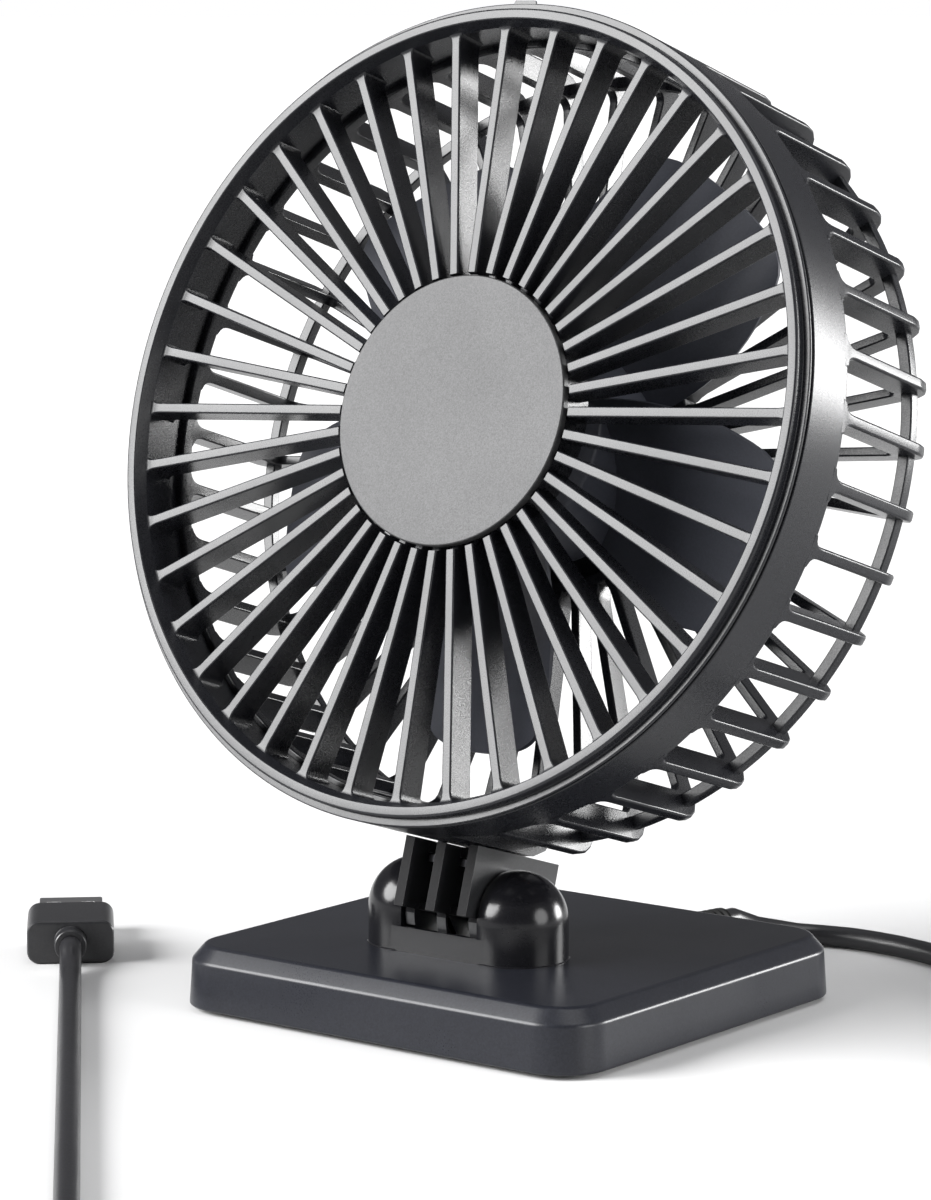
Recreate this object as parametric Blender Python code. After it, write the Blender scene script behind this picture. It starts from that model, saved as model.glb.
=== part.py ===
"""Desk fan: a round tilting head on a square weighted base, with a captive USB lead.

Every size below is in millimetres; to_metres() is the one place that scales them.
World frame: the origin is the centre of the anti-slip pad's underside, +Z is up, the fan blows
towards -Y, and the tilt axis lies along X. The head is drawn upright in the frame of an empty on
the tilt axis, and that empty leans back by HEAD_TILT. Turned pieces of the head are drawn about
the fan axis: x and z across it, y rearwards from the front rim of the head.
"""

import math

import bmesh
import bpy
from mathutils import Vector

GAP = 0.3                               # left between touching pieces

# Head
RING_R = 70.0
HEAD_DEPTH = 42.0                       # front rim to the rear face of the cage
HEAD_TILT = math.radians(17.1)          # leaning back, at rest
SPOKES = 40
SPOKE_PITCH = 2 * math.pi / SPOKES
SPOKE_WIDTH = 1.6
FRONT_PHASE = math.radians(3.0)
REAR_PHASE = SPOKE_PITCH / 2

# Front grille: depths behind the front rim
RIM_INNER_R = 66.9
RIM_OUTER_R = 68.7
LIP_DEPTH = 1.85
LIP_REAR = 2.3
SKIRT_R = 67.7
THROAT_R = 66.0
FRONT_SPOKE_TOP = 2.2
FRONT_SPOKE_BACK = 10.2
SKIRT_REAR = 10.5
DISC_R = 23.1
DISC_FRONT = 1.8
DISC_BACK = 3.2
FRONT_HUB_R = 22.4

# Rear cage
BAND_FRONT = 3.0
BAND_REAR = 13.4
BAND_BORE = SKIRT_R + GAP
CAGE_INNER_R = 65.0
CAGE_CORNER_R = 5.0
REAR_SPOKE_FRONT = HEAD_DEPTH - 4.2
REAR_RING_R = 67.8
REAR_HUB_R = 24.0
MOUNT_BORE_R = 5.0
PAD_CELL = 29                           # the cage cell at the bottom, which the neck meets

# Motor and impeller
SHAFT_R = 1.5
BEARING_R = 3.2
TUBE_R = MOUNT_BORE_R - GAP
STATOR_R = 14.0
CUP_R = 18.0
HUB_R = 20.0
HUB_FRONT = 15.0
HUB_REAR = 34.5
BLADES = 5
BLADE_TIP_R = 54.0
BLADE_THICKNESS = 1.5
BLADE_LEADING = (94.0, 107.0)           # angles in degrees of the rear edge, at root and tip
BLADE_TRAILING = (163.0, 146.0)         # and of the front edge
BLADE_REAR = (34.0, 31.0)               # depths of the rear edge, at root and tip
BLADE_FRONT = (16.0, 21.0)              # and of the front edge

# Base
BASE_X = 86.4
BASE_Y = 80.0
BASE_BOTTOM = 0.8
BASE_HEIGHT = 10.7
BASE_TOP = BASE_BOTTOM + BASE_HEIGHT
BASE_DRAFT = 0.4
CHAMFER_IN = 2.2
CHAMFER_DOWN = 2.6
CORNER_R = 9.0
SHELL_WALL = 2.0
PAD_THICKNESS = 1.0
PLATE_BOTTOM = PAD_THICKNESS + GAP
PLATE_TOP = PLATE_BOTTOM + 1.8

# Tilt joint
PIVOT_Y = -11.8
PIVOT_Z = BASE_TOP + 6.4
AXIS_HEIGHT = 80.8                      # fan axis above the tilt axis, with the head upright
FRONT_SETBACK = 31.9                    # front rim ahead of the tilt axis, with the head upright
EAR_X = 10.8
EAR_R = 8.5
EAR_FACE_X = 8.1
SADDLE_WALL_TOP = BASE_TOP + 4.3
NECK_HALF = 7.7
NECK_WALL = 1.9
KNUCKLE_R = 7.3
BOLT_R = 1.5
BOLT_HOLE_R = BOLT_R + GAP

# Rear wall of the base
GLAND_X = 8.0
BUTTON_X = -20.0
REAR_Z = 6.2
BUTTON_R = 2.5

# USB lead
LEAD_R = 1.95
LEAD_Z = LEAD_R + 0.02
COIL_R = 23.4                           # to the middle of its turns
COIL_HALF_WIDTH = 5.85
COIL_BOTTOM = 0.8
COIL_HEIGHT = 7.3
COIL_X = 89.9
COIL_Y = -167.7
GLAND_END = BASE_Y / 2 + 13.0
PLUG_TURN = math.radians(42.9)
PLUG_X = -80.0                          # rear face of the plug's grip
PLUG_Y = -25.0
PLUG_WIDTH = 15.6
PLUG_LENGTH = 17.0
PLUG_HEIGHT = 7.8
COLLAR_R = 2.9
COLLAR_LENGTH = 2.9
SHELL_WIDTH = 12.0
SHELL_HEIGHT = 4.5
SHELL_LENGTH = 11.5


def to_metres(value):
    return value * 0.001


def clear_scene():
    for item in list(bpy.data.objects):
        bpy.data.objects.remove(item, do_unlink=True)


def material(name, colour, roughness, metallic=0.0):
    """A Principled material of one colour."""
    made = bpy.data.materials.new(name)
    made.use_nodes = True
    shader = made.node_tree.nodes["Principled BSDF"]
    shader.inputs["Base Color"].default_value = (*colour, 1.0)
    shader.inputs["Roughness"].default_value = roughness
    shader.inputs["Metallic"].default_value = metallic
    made.diffuse_color = (*colour, 1.0)
    return made


def link(made, parent=None, place=(0, 0, 0)):
    made.location = [to_metres(value) for value in place]
    made.parent = parent
    bpy.context.scene.collection.objects.link(made)
    return made


def add_mesh(name, points, faces, finish, parent=None, place=(0, 0, 0)):
    """An object from points in millimetres, faces pointing out and smooth over its round parts."""
    mesh = bpy.data.meshes.new(name)
    mesh.from_pydata([Vector(point) * to_metres(1) for point in points], [], faces)
    shell = bmesh.new()
    shell.from_mesh(mesh)
    bmesh.ops.recalc_face_normals(shell, faces=shell.faces)
    shell.to_mesh(mesh)
    shell.free()
    mesh.materials.append(finish)
    mesh.shade_smooth()
    mesh.set_sharp_from_angle(angle=math.radians(30))
    return link(bpy.data.objects.new(name, mesh), parent, place)


def boolean(made, operation, other):
    """Joins other to, or cuts it from, the object. The other one is left as a hidden guide."""
    other.hide_render = True
    other.display_type = "WIRE"
    other.hide_set(True)
    step = made.modifiers.new(f"{operation.lower()}_{other.name}", "BOOLEAN")
    step.operation = operation
    step.object = other
    step.solver = "EXACT"
    return made


def facing(axis, across, up, along):
    """A point from its two coordinates across an axis and one along it."""
    if axis == "X":
        return (along, across, up)
    if axis == "Y":
        return (across, along, up)
    return (across, up, along)


def turned(profile, segments, axis="Y"):
    """Points and faces of a closed outline of (radius, along) turned about an axis."""
    points, rows = [], []
    for radius, along in profile:
        count = 1 if radius == 0 else segments
        rows.append(list(range(len(points), len(points) + count)))
        for step in range(count):
            angle = 2 * math.pi * step / segments
            points.append(facing(axis, radius * math.cos(angle), radius * math.sin(angle), along))
    faces = []
    for row, following in zip(rows, rows[1:] + rows[:1]):
        if len(row) == len(following) == 1:
            continue
        for step in range(segments):
            after = (step + 1) % segments
            corners = [row[step % len(row)], row[after % len(row)]]
            corners += [following[after % len(following)], following[step % len(following)]]
            faces.append(list(dict.fromkeys(corners)))
    return points, faces


def stacked(loops):
    """Points and faces of a solid through loops of equal length, capped at both ends."""
    count = len(loops[0])
    points = [point for loop in loops for point in loop]
    faces = [list(range(count)), list(range(len(points) - count, len(points)))]
    for level in range(len(loops) - 1):
        for step in range(count):
            after = (step + 1) % count
            low = level * count
            faces.append([low + step, low + after, low + count + after, low + count + step])
    return points, faces


def prism(outline, low, high, axis="Z"):
    """Points and faces of an outline of (across, up) drawn out along an axis."""
    return stacked([[facing(axis, *corner, end) for corner in outline] for end in (low, high)])


def box(low, high):
    outline = [(low[0], low[1]), (high[0], low[1]), (high[0], high[1]), (low[0], high[1])]
    return prism(outline, low[2], high[2])


def arc(centre, radius, start, end, steps):
    """Points along an arc, from one angle in degrees to another."""
    turns = [math.radians(start + (end - start) * step / steps) for step in range(steps + 1)]
    return [(centre[0] + radius * math.cos(turn), centre[1] + radius * math.sin(turn)) for turn in turns]


def rounded_rectangle(width, height, radius, steps=5):
    """Outline of a rectangle about the origin, with round corners."""
    inset_x, inset_y = width / 2 - radius, height / 2 - radius
    outline = []
    for start, x, y in ((0, 1, 1), (90, -1, 1), (180, -1, -1), (270, 1, -1)):
        outline += arc((x * inset_x, y * inset_y), radius, start, start + 90, steps)
    return outline


def nearly_round(radius):
    """Outline that matches rounded_rectangle point for point, and is close to a circle."""
    return rounded_rectangle(2 * radius, 2 * radius, 0.94 * radius)


def sleeve(outer, inner, low, high, axis):
    """Points and faces of a tube between two outlines of equal length."""
    rings = [(outer, low), (outer, high), (inner, high), (inner, low)]
    loops = [[facing(axis, *corner, end) for corner in outline] for outline, end in rings]
    count = len(outer)
    points, faces = stacked(loops + [loops[0]])
    faces = [[index % (4 * count) for index in face] for face in faces[2:]]
    return points[:-count], faces


def rounded_bar(name, width, depth, radius, low, high, finish, parent=None, place=(0, 0, 0)):
    return add_mesh(name, *prism(rounded_rectangle(width, depth, radius), low, high), finish, parent, place)


def cylinder(radius, low, high, segments=16, axis="Y"):
    return turned([(0, low), (radius, low), (radius, high), (0, high)], segments, axis)


def tube(outer, inner, low, high, segments=32, axis="Y"):
    return turned([(outer, low), (outer, high), (inner, high), (inner, low)], segments, axis)


def guide(name, shape, parent=None, place=(0, 0, 0)):
    """A shape that is only joined to, or cut from, another one."""
    return add_mesh(name, *shape, bpy.data.materials["guide"], parent, place)


def add_tube(name, points, radius, finish, parent=None):
    """A round lead through points, with closed ends."""
    data = bpy.data.curves.new(name, "CURVE")
    data.dimensions = "3D"
    data.bevel_depth = to_metres(radius)
    data.bevel_resolution = 2
    data.use_fill_caps = True
    data.materials.append(finish)
    spline = data.splines.new("POLY")
    spline.points.add(len(points) - 1)
    for point, place in zip(spline.points, points):
        point.co = (*(to_metres(value) for value in place), 1)
    return link(bpy.data.objects.new(name, data), parent)


def smooth_route(points, spacing):
    """Points about a spacing apart on a smooth curve through the given ones."""
    path = [Vector(point) for point in points]
    path = [2 * path[0] - path[1]] + path + [2 * path[-1] - path[-2]]
    made = []
    for before, start, end, after in zip(path, path[1:], path[2:], path[3:]):
        steps = max(1, round((end - start).length / spacing))
        for step in range(steps):
            t = step / steps
            curve = 2 * start + (end - before) * t
            curve += (2 * before - 5 * start + 4 * end - after) * t * t
            curve += (3 * start - before - 3 * end + after) * t * t * t
            made.append(curve / 2)
    return made + [path[-2]]


def on_table(points):
    return [(x, y, max(z, LEAD_Z)) for x, y, z in points]


def spoke_point(phase, spoke, side, radius, depth):
    """A point on one side of a spoke: spokes keep their width except near the axis."""
    angle = phase + spoke * SPOKE_PITCH
    half = min(SPOKE_WIDTH / 2, radius * SPOKE_PITCH / 4) * side
    x = radius * math.cos(angle) - half * math.sin(angle)
    z = radius * math.sin(angle) + half * math.cos(angle)
    return (x, depth, z)


def spoked(phase, outline, between, sides):
    """A spoked ring, from outlines of (radius, depth).

    outline is a whole spoke with the rings that it crosses. between(cell) gives the outlines of
    what crosses the cell after a spoke, and sides(cell) those of the spoke's own side faces there.
    Every corner of those outlines that lies on the edge of outline is a corner of it too.
    """
    points, index, faces = [], {}, []

    def corner(spoke, side, place):
        key = (spoke % SPOKES, side, place)
        if key not in index:
            index[key] = len(points)
            points.append(spoke_point(phase, spoke, side, *place))
        return index[key]

    for spoke in range(SPOKES):
        for here, after in zip(outline, outline[1:] + outline[:1]):
            ends = [(-1, here), (-1, after), (1, after), (1, here)]
            faces.append([corner(spoke, side, place) for side, place in ends])
        for shape in sides(spoke):
            faces.append([corner(spoke, 1, place) for place in shape])
            faces.append([corner(spoke + 1, -1, place) for place in shape])
        for shape in between(spoke):
            for here, after in zip(shape, shape[1:] + shape[:1]):
                ends = [(spoke, 1, here), (spoke, 1, after), (spoke + 1, -1, after), (spoke + 1, -1, here)]
                faces.append([corner(*end) for end in ends])
    return points, faces


def front_grille(finish, parent):
    """Rim, skirt, spokes and hub in one moulding, with the catch on top of the rim."""
    throat = [(THROAT_R, FRONT_SPOKE_BACK), (THROAT_R, FRONT_SPOKE_TOP)]
    rim = throat + [
        (RIM_INNER_R, 0),
        (RIM_OUTER_R, 0.5),
        (RIM_OUTER_R, LIP_DEPTH),
        (RING_R - 0.3, LIP_DEPTH),
        (RING_R, LIP_DEPTH + 0.2),
        (RING_R, LIP_REAR),
        (SKIRT_R, LIP_REAR),
        (SKIRT_R, SKIRT_REAR),
        (THROAT_R, SKIRT_REAR),
    ]
    hub_floor = DISC_BACK + GAP
    wall = [(FRONT_HUB_R, hub_floor), (FRONT_HUB_R, FRONT_SPOKE_BACK)]
    hub_inside = [
        (FRONT_HUB_R - 1.8, FRONT_SPOKE_BACK),
        (FRONT_HUB_R - 1.8, hub_floor + 1.8),
        (6, hub_floor + 1.8),
        (6, hub_floor),
    ]
    shoulder = [(DISC_R + 0.4, hub_floor), (DISC_R + 0.6, FRONT_SPOKE_TOP + 0.2)]
    spoke = [throat[1], throat[0], wall[1], wall[0]] + shoulder
    outline = rim[1:] + [throat[0], wall[1]] + hub_inside + [wall[0]] + shoulder
    shape = spoked(FRONT_PHASE, outline, lambda cell: [rim, wall + hub_inside], lambda cell: [spoke])
    made = add_mesh("front_grille", *shape, finish, parent)
    catch = rounded_rectangle(5, 1.2, 0.5, 2)
    bump = [(x, z + RING_R - 0.1) for x, z in catch]
    return boolean(made, "UNION", guide("catch_bump", prism(bump, 1.95, LIP_REAR - 0.05, "Y"), parent))


def rear_cage(finish, parent):
    """Band, side and rear spokes, rear ring, motor mount and the panel that the neck meets."""
    band = [
        (CAGE_INNER_R, BAND_REAR),
        (RING_R, BAND_REAR),
        (RING_R, BAND_FRONT + 0.2),
        (RING_R - 0.2, BAND_FRONT),
        (BAND_BORE, BAND_FRONT),
        (BAND_BORE, SKIRT_REAR + GAP),
        (CAGE_INNER_R, SKIRT_REAR + GAP),
    ]
    corner = [(RING_R, HEAD_DEPTH - CAGE_CORNER_R)]
    centre = (RING_R - CAGE_CORNER_R, HEAD_DEPTH - CAGE_CORNER_R)
    corner += arc(centre, CAGE_CORNER_R, 22.5, 90, 3)
    ring_edge = [(CAGE_INNER_R - 1.5, REAR_SPOKE_FRONT), (CAGE_INNER_R, REAR_SPOKE_FRONT - 2)]
    ring = ring_edge + [
        (REAR_RING_R, REAR_SPOKE_FRONT - 2),
        (REAR_RING_R, REAR_SPOKE_FRONT + 2),
        (CAGE_INNER_R - 1.5, REAR_SPOKE_FRONT + 2),
    ]
    wall = [(REAR_HUB_R, HEAD_DEPTH), (REAR_HUB_R, REAR_SPOKE_FRONT)]
    mount = wall + [
        (REAR_HUB_R - 2, REAR_SPOKE_FRONT),
        (REAR_HUB_R - 2, HEAD_DEPTH - 2.2),
        (MOUNT_BORE_R, HEAD_DEPTH - 2.2),
        (MOUNT_BORE_R, HEAD_DEPTH),
    ]
    rear_end = (CAGE_INNER_R - 1.5, HEAD_DEPTH)
    side = [band[0], band[1]] + corner + [rear_end] + wall + [ring[0], ring[4], ring[3], ring[2], ring[1]]
    outline = band[1:] + [band[0], ring[1], ring[0]] + mount[1:] + [wall[0], rear_end] + corner[::-1]
    panel = band[1:] + [band[0], ring[1], ring[0], rear_end] + corner[::-1]
    rear_side = [rear_end] + wall + [ring[0]]

    def between(cell):
        return [panel, mount] if cell == PAD_CELL else [band, ring, mount]

    def sides(cell):
        return [rear_side] if cell == PAD_CELL else [side]

    made = add_mesh("rear_cage", *spoked(REAR_PHASE, outline, between, sides), finish, parent)
    for number, place in enumerate(motor_screw_places()):
        hole = guide(f"mount_hole_{number}", cylinder(1.1, HEAD_DEPTH - 4, HEAD_DEPTH + 2, 8), parent, place)
        boolean(made, "DIFFERENCE", hole)
    for number, place in enumerate(neck_screw_places()):
        hole = guide(f"pad_hole_{number}", cylinder(1.1, -RING_R - 1, -RING_R + 3.3, 8, "Z"), parent, place)
        boolean(made, "DIFFERENCE", hole)
    return made


def motor_screw_places():
    turns = [math.radians(90 + 120 * number) for number in range(3)]
    return [(19.0 * math.cos(turn), 0, 19.0 * math.sin(turn)) for turn in turns]


def neck_screw_places():
    return [(x, FRONT_SETBACK - 6.0, 0) for x in (-3.4, 3.4)]


def centre_disc(finish, parent):
    """Cap on the grille's hub, with a peg in the hub's hole."""
    profile = [
        (0, DISC_FRONT),
        (DISC_R - 0.3, DISC_FRONT),
        (DISC_R, DISC_FRONT + 0.3),
        (DISC_R, DISC_BACK),
        (6 - GAP, DISC_BACK),
        (6 - GAP, DISC_BACK + 3),
        (0, DISC_BACK + 3),
    ]
    return add_mesh("centre_disc", *turned(profile, 56), finish, parent)


def motor(finishes, parent, spin):
    """Stator parts on the cage's mount, and the rotor that turns in the spin frame."""
    mount_front = HEAD_DEPTH - 2.2
    board = mount_front - GAP
    bearing_tube = [
        (TUBE_R, HUB_FRONT + 4),
        (TUBE_R, HEAD_DEPTH),
        (BEARING_R + GAP, HEAD_DEPTH),
        (BEARING_R + GAP, HUB_FRONT + 4),
    ]
    add_mesh("bearing_tube", *turned(bearing_tube, 24), finishes["brass"], parent)
    for name, low in (("front_bearing", HUB_FRONT + 5), ("rear_bearing", HEAD_DEPTH - 7)):
        add_mesh(name, *tube(BEARING_R, SHAFT_R + 0.15, low, low + 5, 16), finishes["bronze"], parent)
    add_mesh("motor_board", *tube(17.0, TUBE_R + GAP, board - 1.2, board, 32), finishes["board"], parent)
    core_rear = board - 1.2 - 3.5
    core = []
    for pole in range(8):
        middle = 45 * pole
        for turn, radius in ((-16, STATOR_R), (16, STATOR_R), (17, STATOR_R - 1.6), (22.5, 8.0)):
            core.append(arc((0, 0), radius, middle + turn, middle + turn, 1)[0])
    stator = add_mesh("stator_core", *prism(core, core_rear - 7, core_rear, "Y"), finishes["steel"], parent)
    bore = guide("stator_bore", cylinder(TUBE_R + GAP, core_rear - 9, core_rear + 2, 24), parent)
    boolean(stator, "DIFFERENCE", bore)
    for name, low in (("front_winding", core_rear - 10), ("rear_winding", core_rear + GAP)):
        profile = [(12.6, low + 0.6), (12, low), (6.6, low), (6.6, low + 2.7), (12, low + 2.7), (12.6, low + 2.1)]
        add_mesh(name, *turned(profile, 20), finishes["copper"], parent)
    for number, place in enumerate(motor_screw_places(), 1):
        profile = [(0, mount_front), (0.8, mount_front), (0.8, HEAD_DEPTH + GAP), (1.9, HEAD_DEPTH + GAP)]
        profile += [(1.9, HEAD_DEPTH + 1.1), (1.4, HEAD_DEPTH + 1.5), (0, HEAD_DEPTH + 1.5)]
        add_mesh(f"motor_screw_{number}", *turned(profile, 12), finishes["screw"], parent, place)
    cap = [
        (0, HEAD_DEPTH + 3.6),
        (15, HEAD_DEPTH + 3.6),
        (REAR_HUB_R - 1.6, HEAD_DEPTH + 2.2),
        (REAR_HUB_R - 0.8, HEAD_DEPTH + GAP),
        (REAR_HUB_R - 2.6, HEAD_DEPTH + GAP),
        (REAR_HUB_R - 3, HEAD_DEPTH + 2),
        (0, HEAD_DEPTH + 2),
    ]
    add_mesh("motor_cap", *turned(cap, 36), finishes["plastic"], parent)

    cup_front = HUB_FRONT + 1.8 + GAP
    cup = [
        (SHAFT_R + GAP, cup_front),
        (CUP_R, cup_front),
        (CUP_R, HUB_REAR - 0.5),
        (CUP_R - 0.9, HUB_REAR - 0.5),
        (CUP_R - 0.9, cup_front + 1),
        (SHAFT_R + GAP, cup_front + 1),
    ]
    add_mesh("rotor_cup", *turned(cup, 28), finishes["steel"], spin)
    magnet = tube(CUP_R - 0.9 - GAP, STATOR_R + 0.6, HUB_REAR - 12, HUB_REAR - 1, 28)
    add_mesh("magnet_ring", *magnet, finishes["magnet"], spin)
    shaft_front = HUB_FRONT + 1.8 + GAP
    add_mesh("rotor_shaft", *cylinder(SHAFT_R, shaft_front, HEAD_DEPTH - 0.6, 16), finishes["bright"], spin)
    clip_low = HEAD_DEPTH - 1.7
    add_mesh("shaft_clip", *tube(2.7, SHAFT_R + 0.15, clip_low, clip_low + 0.5, 20), finishes["bright"], spin)
    lead = [(0, REAR_SPOKE_FRONT - 1.4, z) for z in (-14, -20, -34, -48, -58, -62.8)]
    add_tube("motor_lead", lead, 0.9, finishes["rubber"], parent)
    impeller(finishes["impeller"], spin)


def mixed(ends, amount):
    return ends[0] + (ends[1] - ends[0]) * amount


def blade_point(across, outward, face):
    """A point of a blade: across from its rear edge and outward from 0 to 1, on one of its faces."""
    chord = 2 * across - 1
    root = HUB_R - 1.2
    tip = BLADE_TIP_R - 6.0 * chord ** 6
    radius = root + (tip - root) * outward
    ends = [math.radians(mixed(BLADE_LEADING, outward ** 2)), math.radians(mixed(BLADE_TRAILING, outward))]
    depths = [mixed(BLADE_REAR, outward), mixed(BLADE_FRONT, outward)]
    angle = mixed(ends, across)
    bow = 1.4 * (1 - chord * chord)
    slope = math.atan2(depths[0] - depths[1], (ends[1] - ends[0]) * radius)
    half = BLADE_THICKNESS / 2 * (1 - 0.55 * chord ** 4) * face
    turn = angle + half * math.sin(slope) / radius
    return (radius * math.cos(turn), mixed(depths, across) + bow + half * math.cos(slope), radius * math.sin(turn))


def blade(steps_across=8, steps_outward=5):
    """Points and faces of one pitched blade, its root inside the hub wall."""
    rows = []
    for step in range(steps_outward + 1):
        outward = step / steps_outward
        front = [blade_point(n / steps_across, outward, -1) for n in range(steps_across + 1)]
        back = [blade_point(n / steps_across, outward, 1) for n in range(steps_across, -1, -1)]
        rows.append(front + back)
    points, faces = stacked(rows)
    count = len(rows[0])
    faces = faces[2:]
    for low in (0, len(points) - count):
        for n in range(steps_across):
            faces.append([low + n, low + n + 1, low + count - 2 - n, low + count - 1 - n])
    return points, faces


def impeller(finish, spin):
    """Hub that fits over the rotor cup, with five pitched blades."""
    hub = [
        (0, HUB_FRONT),
        (HUB_R - 3, HUB_FRONT),
        (HUB_R - 0.8, HUB_FRONT + 0.8),
        (HUB_R, HUB_FRONT + 3),
        (HUB_R, HUB_REAR),
        (CUP_R + GAP, HUB_REAR),
        (CUP_R + GAP, HUB_FRONT + 1.8),
        (0, HUB_FRONT + 1.8),
    ]
    made = add_mesh("impeller", *turned(hub, 36), finish, spin)
    for number in range(BLADES):
        vane = guide(f"blade_{number}", blade(), spin)
        vane.rotation_euler.y = -number * 2 * math.pi / BLADES
        boolean(made, "UNION", vane)
    return made


def neck(finishes, parent):
    """Block that carries the head: open cavities in front, and three knuckles on the tilt bolt."""
    front, rear = -10.7, 13.0
    top = AXIS_HEIGHT - RING_R - GAP
    step_z = -1.1
    tangent = math.degrees(math.atan2(6.8, rear) - math.acos(KNUCKLE_R / math.hypot(6.8, rear)))
    outline = [(front, top + 1), (front, step_z)]
    outline += arc((0, 0), KNUCKLE_R, 180 + math.degrees(math.asin(-step_z / KNUCKLE_R)), 360 + tangent, 10)
    outline += [(rear, 6.8), (rear, top + 1)]
    made = add_mesh("neck", *prism(outline, -NECK_HALF, NECK_HALF, "X"), finishes["plastic"], parent)
    saddle = turned([(0, -50), (RING_R + GAP, -50), (RING_R + GAP, 50), (0, 50)], 144)
    boolean(made, "DIFFERENCE", guide("neck_saddle", saddle, parent, (0, 0, AXIS_HEIGHT)))
    inner = NECK_HALF - NECK_WALL
    rib = NECK_WALL / 2
    floor = step_z + 1.4
    for number, (low, high) in enumerate(((-inner, -rib), (rib, inner))):
        pocket = guide(f"neck_pocket_{number}", box((low, front - 1, floor), (high, 10.6, top - 1.8)), parent)
        boolean(made, "DIFFERENCE", pocket)
        between = guide(f"knuckle_gap_{number}", box((low, -9, -9), (high, 9.5, step_z)), parent)
        boolean(made, "DIFFERENCE", between)
    bore = cylinder(BOLT_HOLE_R, -9, 9, 24, "X")
    boolean(made, "DIFFERENCE", guide("knuckle_bore", bore, parent))
    head_top = top - 1.8 - GAP
    for number, (x, depth, _) in enumerate(neck_screw_places(), 1):
        place = (x, depth - FRONT_SETBACK, 0)
        way = guide(f"screw_way_{number}", cylinder(1.15, head_top - 1, top + 2, 10, "Z"), parent, place)
        boolean(made, "DIFFERENCE", way)
        access = guide(f"driver_way_{number}", cylinder(2.1, step_z - 1, floor + 1, 12, "Z"), parent, place)
        boolean(made, "DIFFERENCE", access)
        profile = [(0, head_top - 1.2), (1.9, head_top - 1.2), (1.9, head_top), (0.85, head_top)]
        profile += [(0.85, top + 2.8), (0, top + 2.8)]
        add_mesh(f"neck_screw_{number}", *turned(profile, 12, "Z"), finishes["screw"], parent, place)
    return made


def base_shell(finish):
    """Square housing with its top chamfer, screw bosses, and openings under the tilt joint."""
    outer = BASE_X, BASE_Y
    inside = 2 * SHELL_WALL

    def loop(shrink, height, radius):
        outline = rounded_rectangle(outer[0] - shrink, outer[1] - shrink, radius)
        return [(x, y, height) for x, y in outline]

    draft = 2 * BASE_DRAFT
    ceiling = BASE_TOP - SHELL_WALL
    loops = [
        loop(draft + 2 * CHAMFER_IN, BASE_TOP, CORNER_R - 2),
        loop(draft, BASE_TOP - CHAMFER_DOWN, CORNER_R),
        loop(0, BASE_BOTTOM + 0.5, CORNER_R),
        loop(0.6, BASE_BOTTOM, CORNER_R - 0.3),
        loop(inside, BASE_BOTTOM, CORNER_R - SHELL_WALL),
        loop(inside + draft, ceiling - 1.5, CORNER_R - SHELL_WALL),
        loop(inside + draft + 2.4, ceiling, CORNER_R - SHELL_WALL - 1),
    ]
    made = add_mesh("base_shell", *stacked(loops), finish)
    for x, y in boss_places():
        boolean(made, "UNION", guide(f"boss_{x:.0f}_{y:.0f}", cylinder(2.6, PLATE_TOP + GAP, ceiling + 1, 12, "Z"), None, (x, y, 0)))
        boolean(made, "DIFFERENCE", guide(f"pilot_{x:.0f}_{y:.0f}", cylinder(1.3, 2, ceiling - 1, 8, "Z"), None, (x, y, 0)))
    reach = KNUCKLE_R + 0.2
    opening = box((-EAR_FACE_X + 0.1, PIVOT_Y - reach, 5), (EAR_FACE_X - 0.1, PIVOT_Y + reach, BASE_TOP + 1))
    boolean(made, "DIFFERENCE", guide("lead_opening", opening))
    for side in (-1, 1):
        boolean(made, "DIFFERENCE", guide(f"bolt_access_{side + 1}", ear_hollow(side)))
    for name, x, radius in (("gland_hole", GLAND_X, 2.9), ("button_hole", BUTTON_X, BUTTON_R)):
        hole = cylinder(radius + GAP, BASE_Y / 2 - 4, BASE_Y / 2 + 2, 20, "Y")
        boolean(made, "DIFFERENCE", guide(name, hole, None, (x, 0, REAR_Z)))
    return made


def ear_hollow(side):
    """Space for the bolt's head or nut, open downwards into the base."""
    low, high = sorted((side * (EAR_FACE_X + 1.8), side * (EAR_FACE_X + 7.2)))
    return box((low, PIVOT_Y - 3.6, 5), (high, PIVOT_Y + 3.6, PIVOT_Z + 3.6))


def pedestal(finish):
    """The two domed ears of the tilt joint, joined by a low wall in front of the knuckles."""
    bottom = BASE_TOP + GAP
    front = PIVOT_Y - EAR_R + 0.05
    back = PIVOT_Y - KNUCKLE_R - 0.3
    made = add_mesh("pedestal", *box((-EAR_X, front, bottom), (EAR_X, back, SADDLE_WALL_TOP)), finish)
    sill = box((-EAR_X, front + 0.2, bottom), (EAR_X, PIVOT_Y - 6.1, bottom + 1.0))
    boolean(made, "UNION", guide("sill", sill))
    for name, side in (("ear_left", -1), ("ear_right", 1)):
        dome = arc((0, PIVOT_Z), EAR_R, 0, 90, 7)
        profile = [(0, bottom), (EAR_R, bottom)] + dome[:-1] + [(0, PIVOT_Z + EAR_R)]
        ear = guide(name, turned(profile, 32, "Z"), None, (side * EAR_X, PIVOT_Y, 0))
        low, high = sorted((-side * 20, side * EAR_FACE_X))
        boolean(ear, "DIFFERENCE", guide(f"{name}_face", box((low, PIVOT_Y - 10, 5), (high, PIVOT_Y + 10, 40))))
        boolean(made, "UNION", ear)
    for side in (-1, 1):
        boolean(made, "DIFFERENCE", guide(f"ear_hollow_{side + 1}", ear_hollow(side)))
    bore = cylinder(BOLT_HOLE_R, -13, 13, 16, "X")
    return boolean(made, "DIFFERENCE", guide("bolt_bore", bore, None, (0, PIVOT_Y, PIVOT_Z)))


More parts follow.
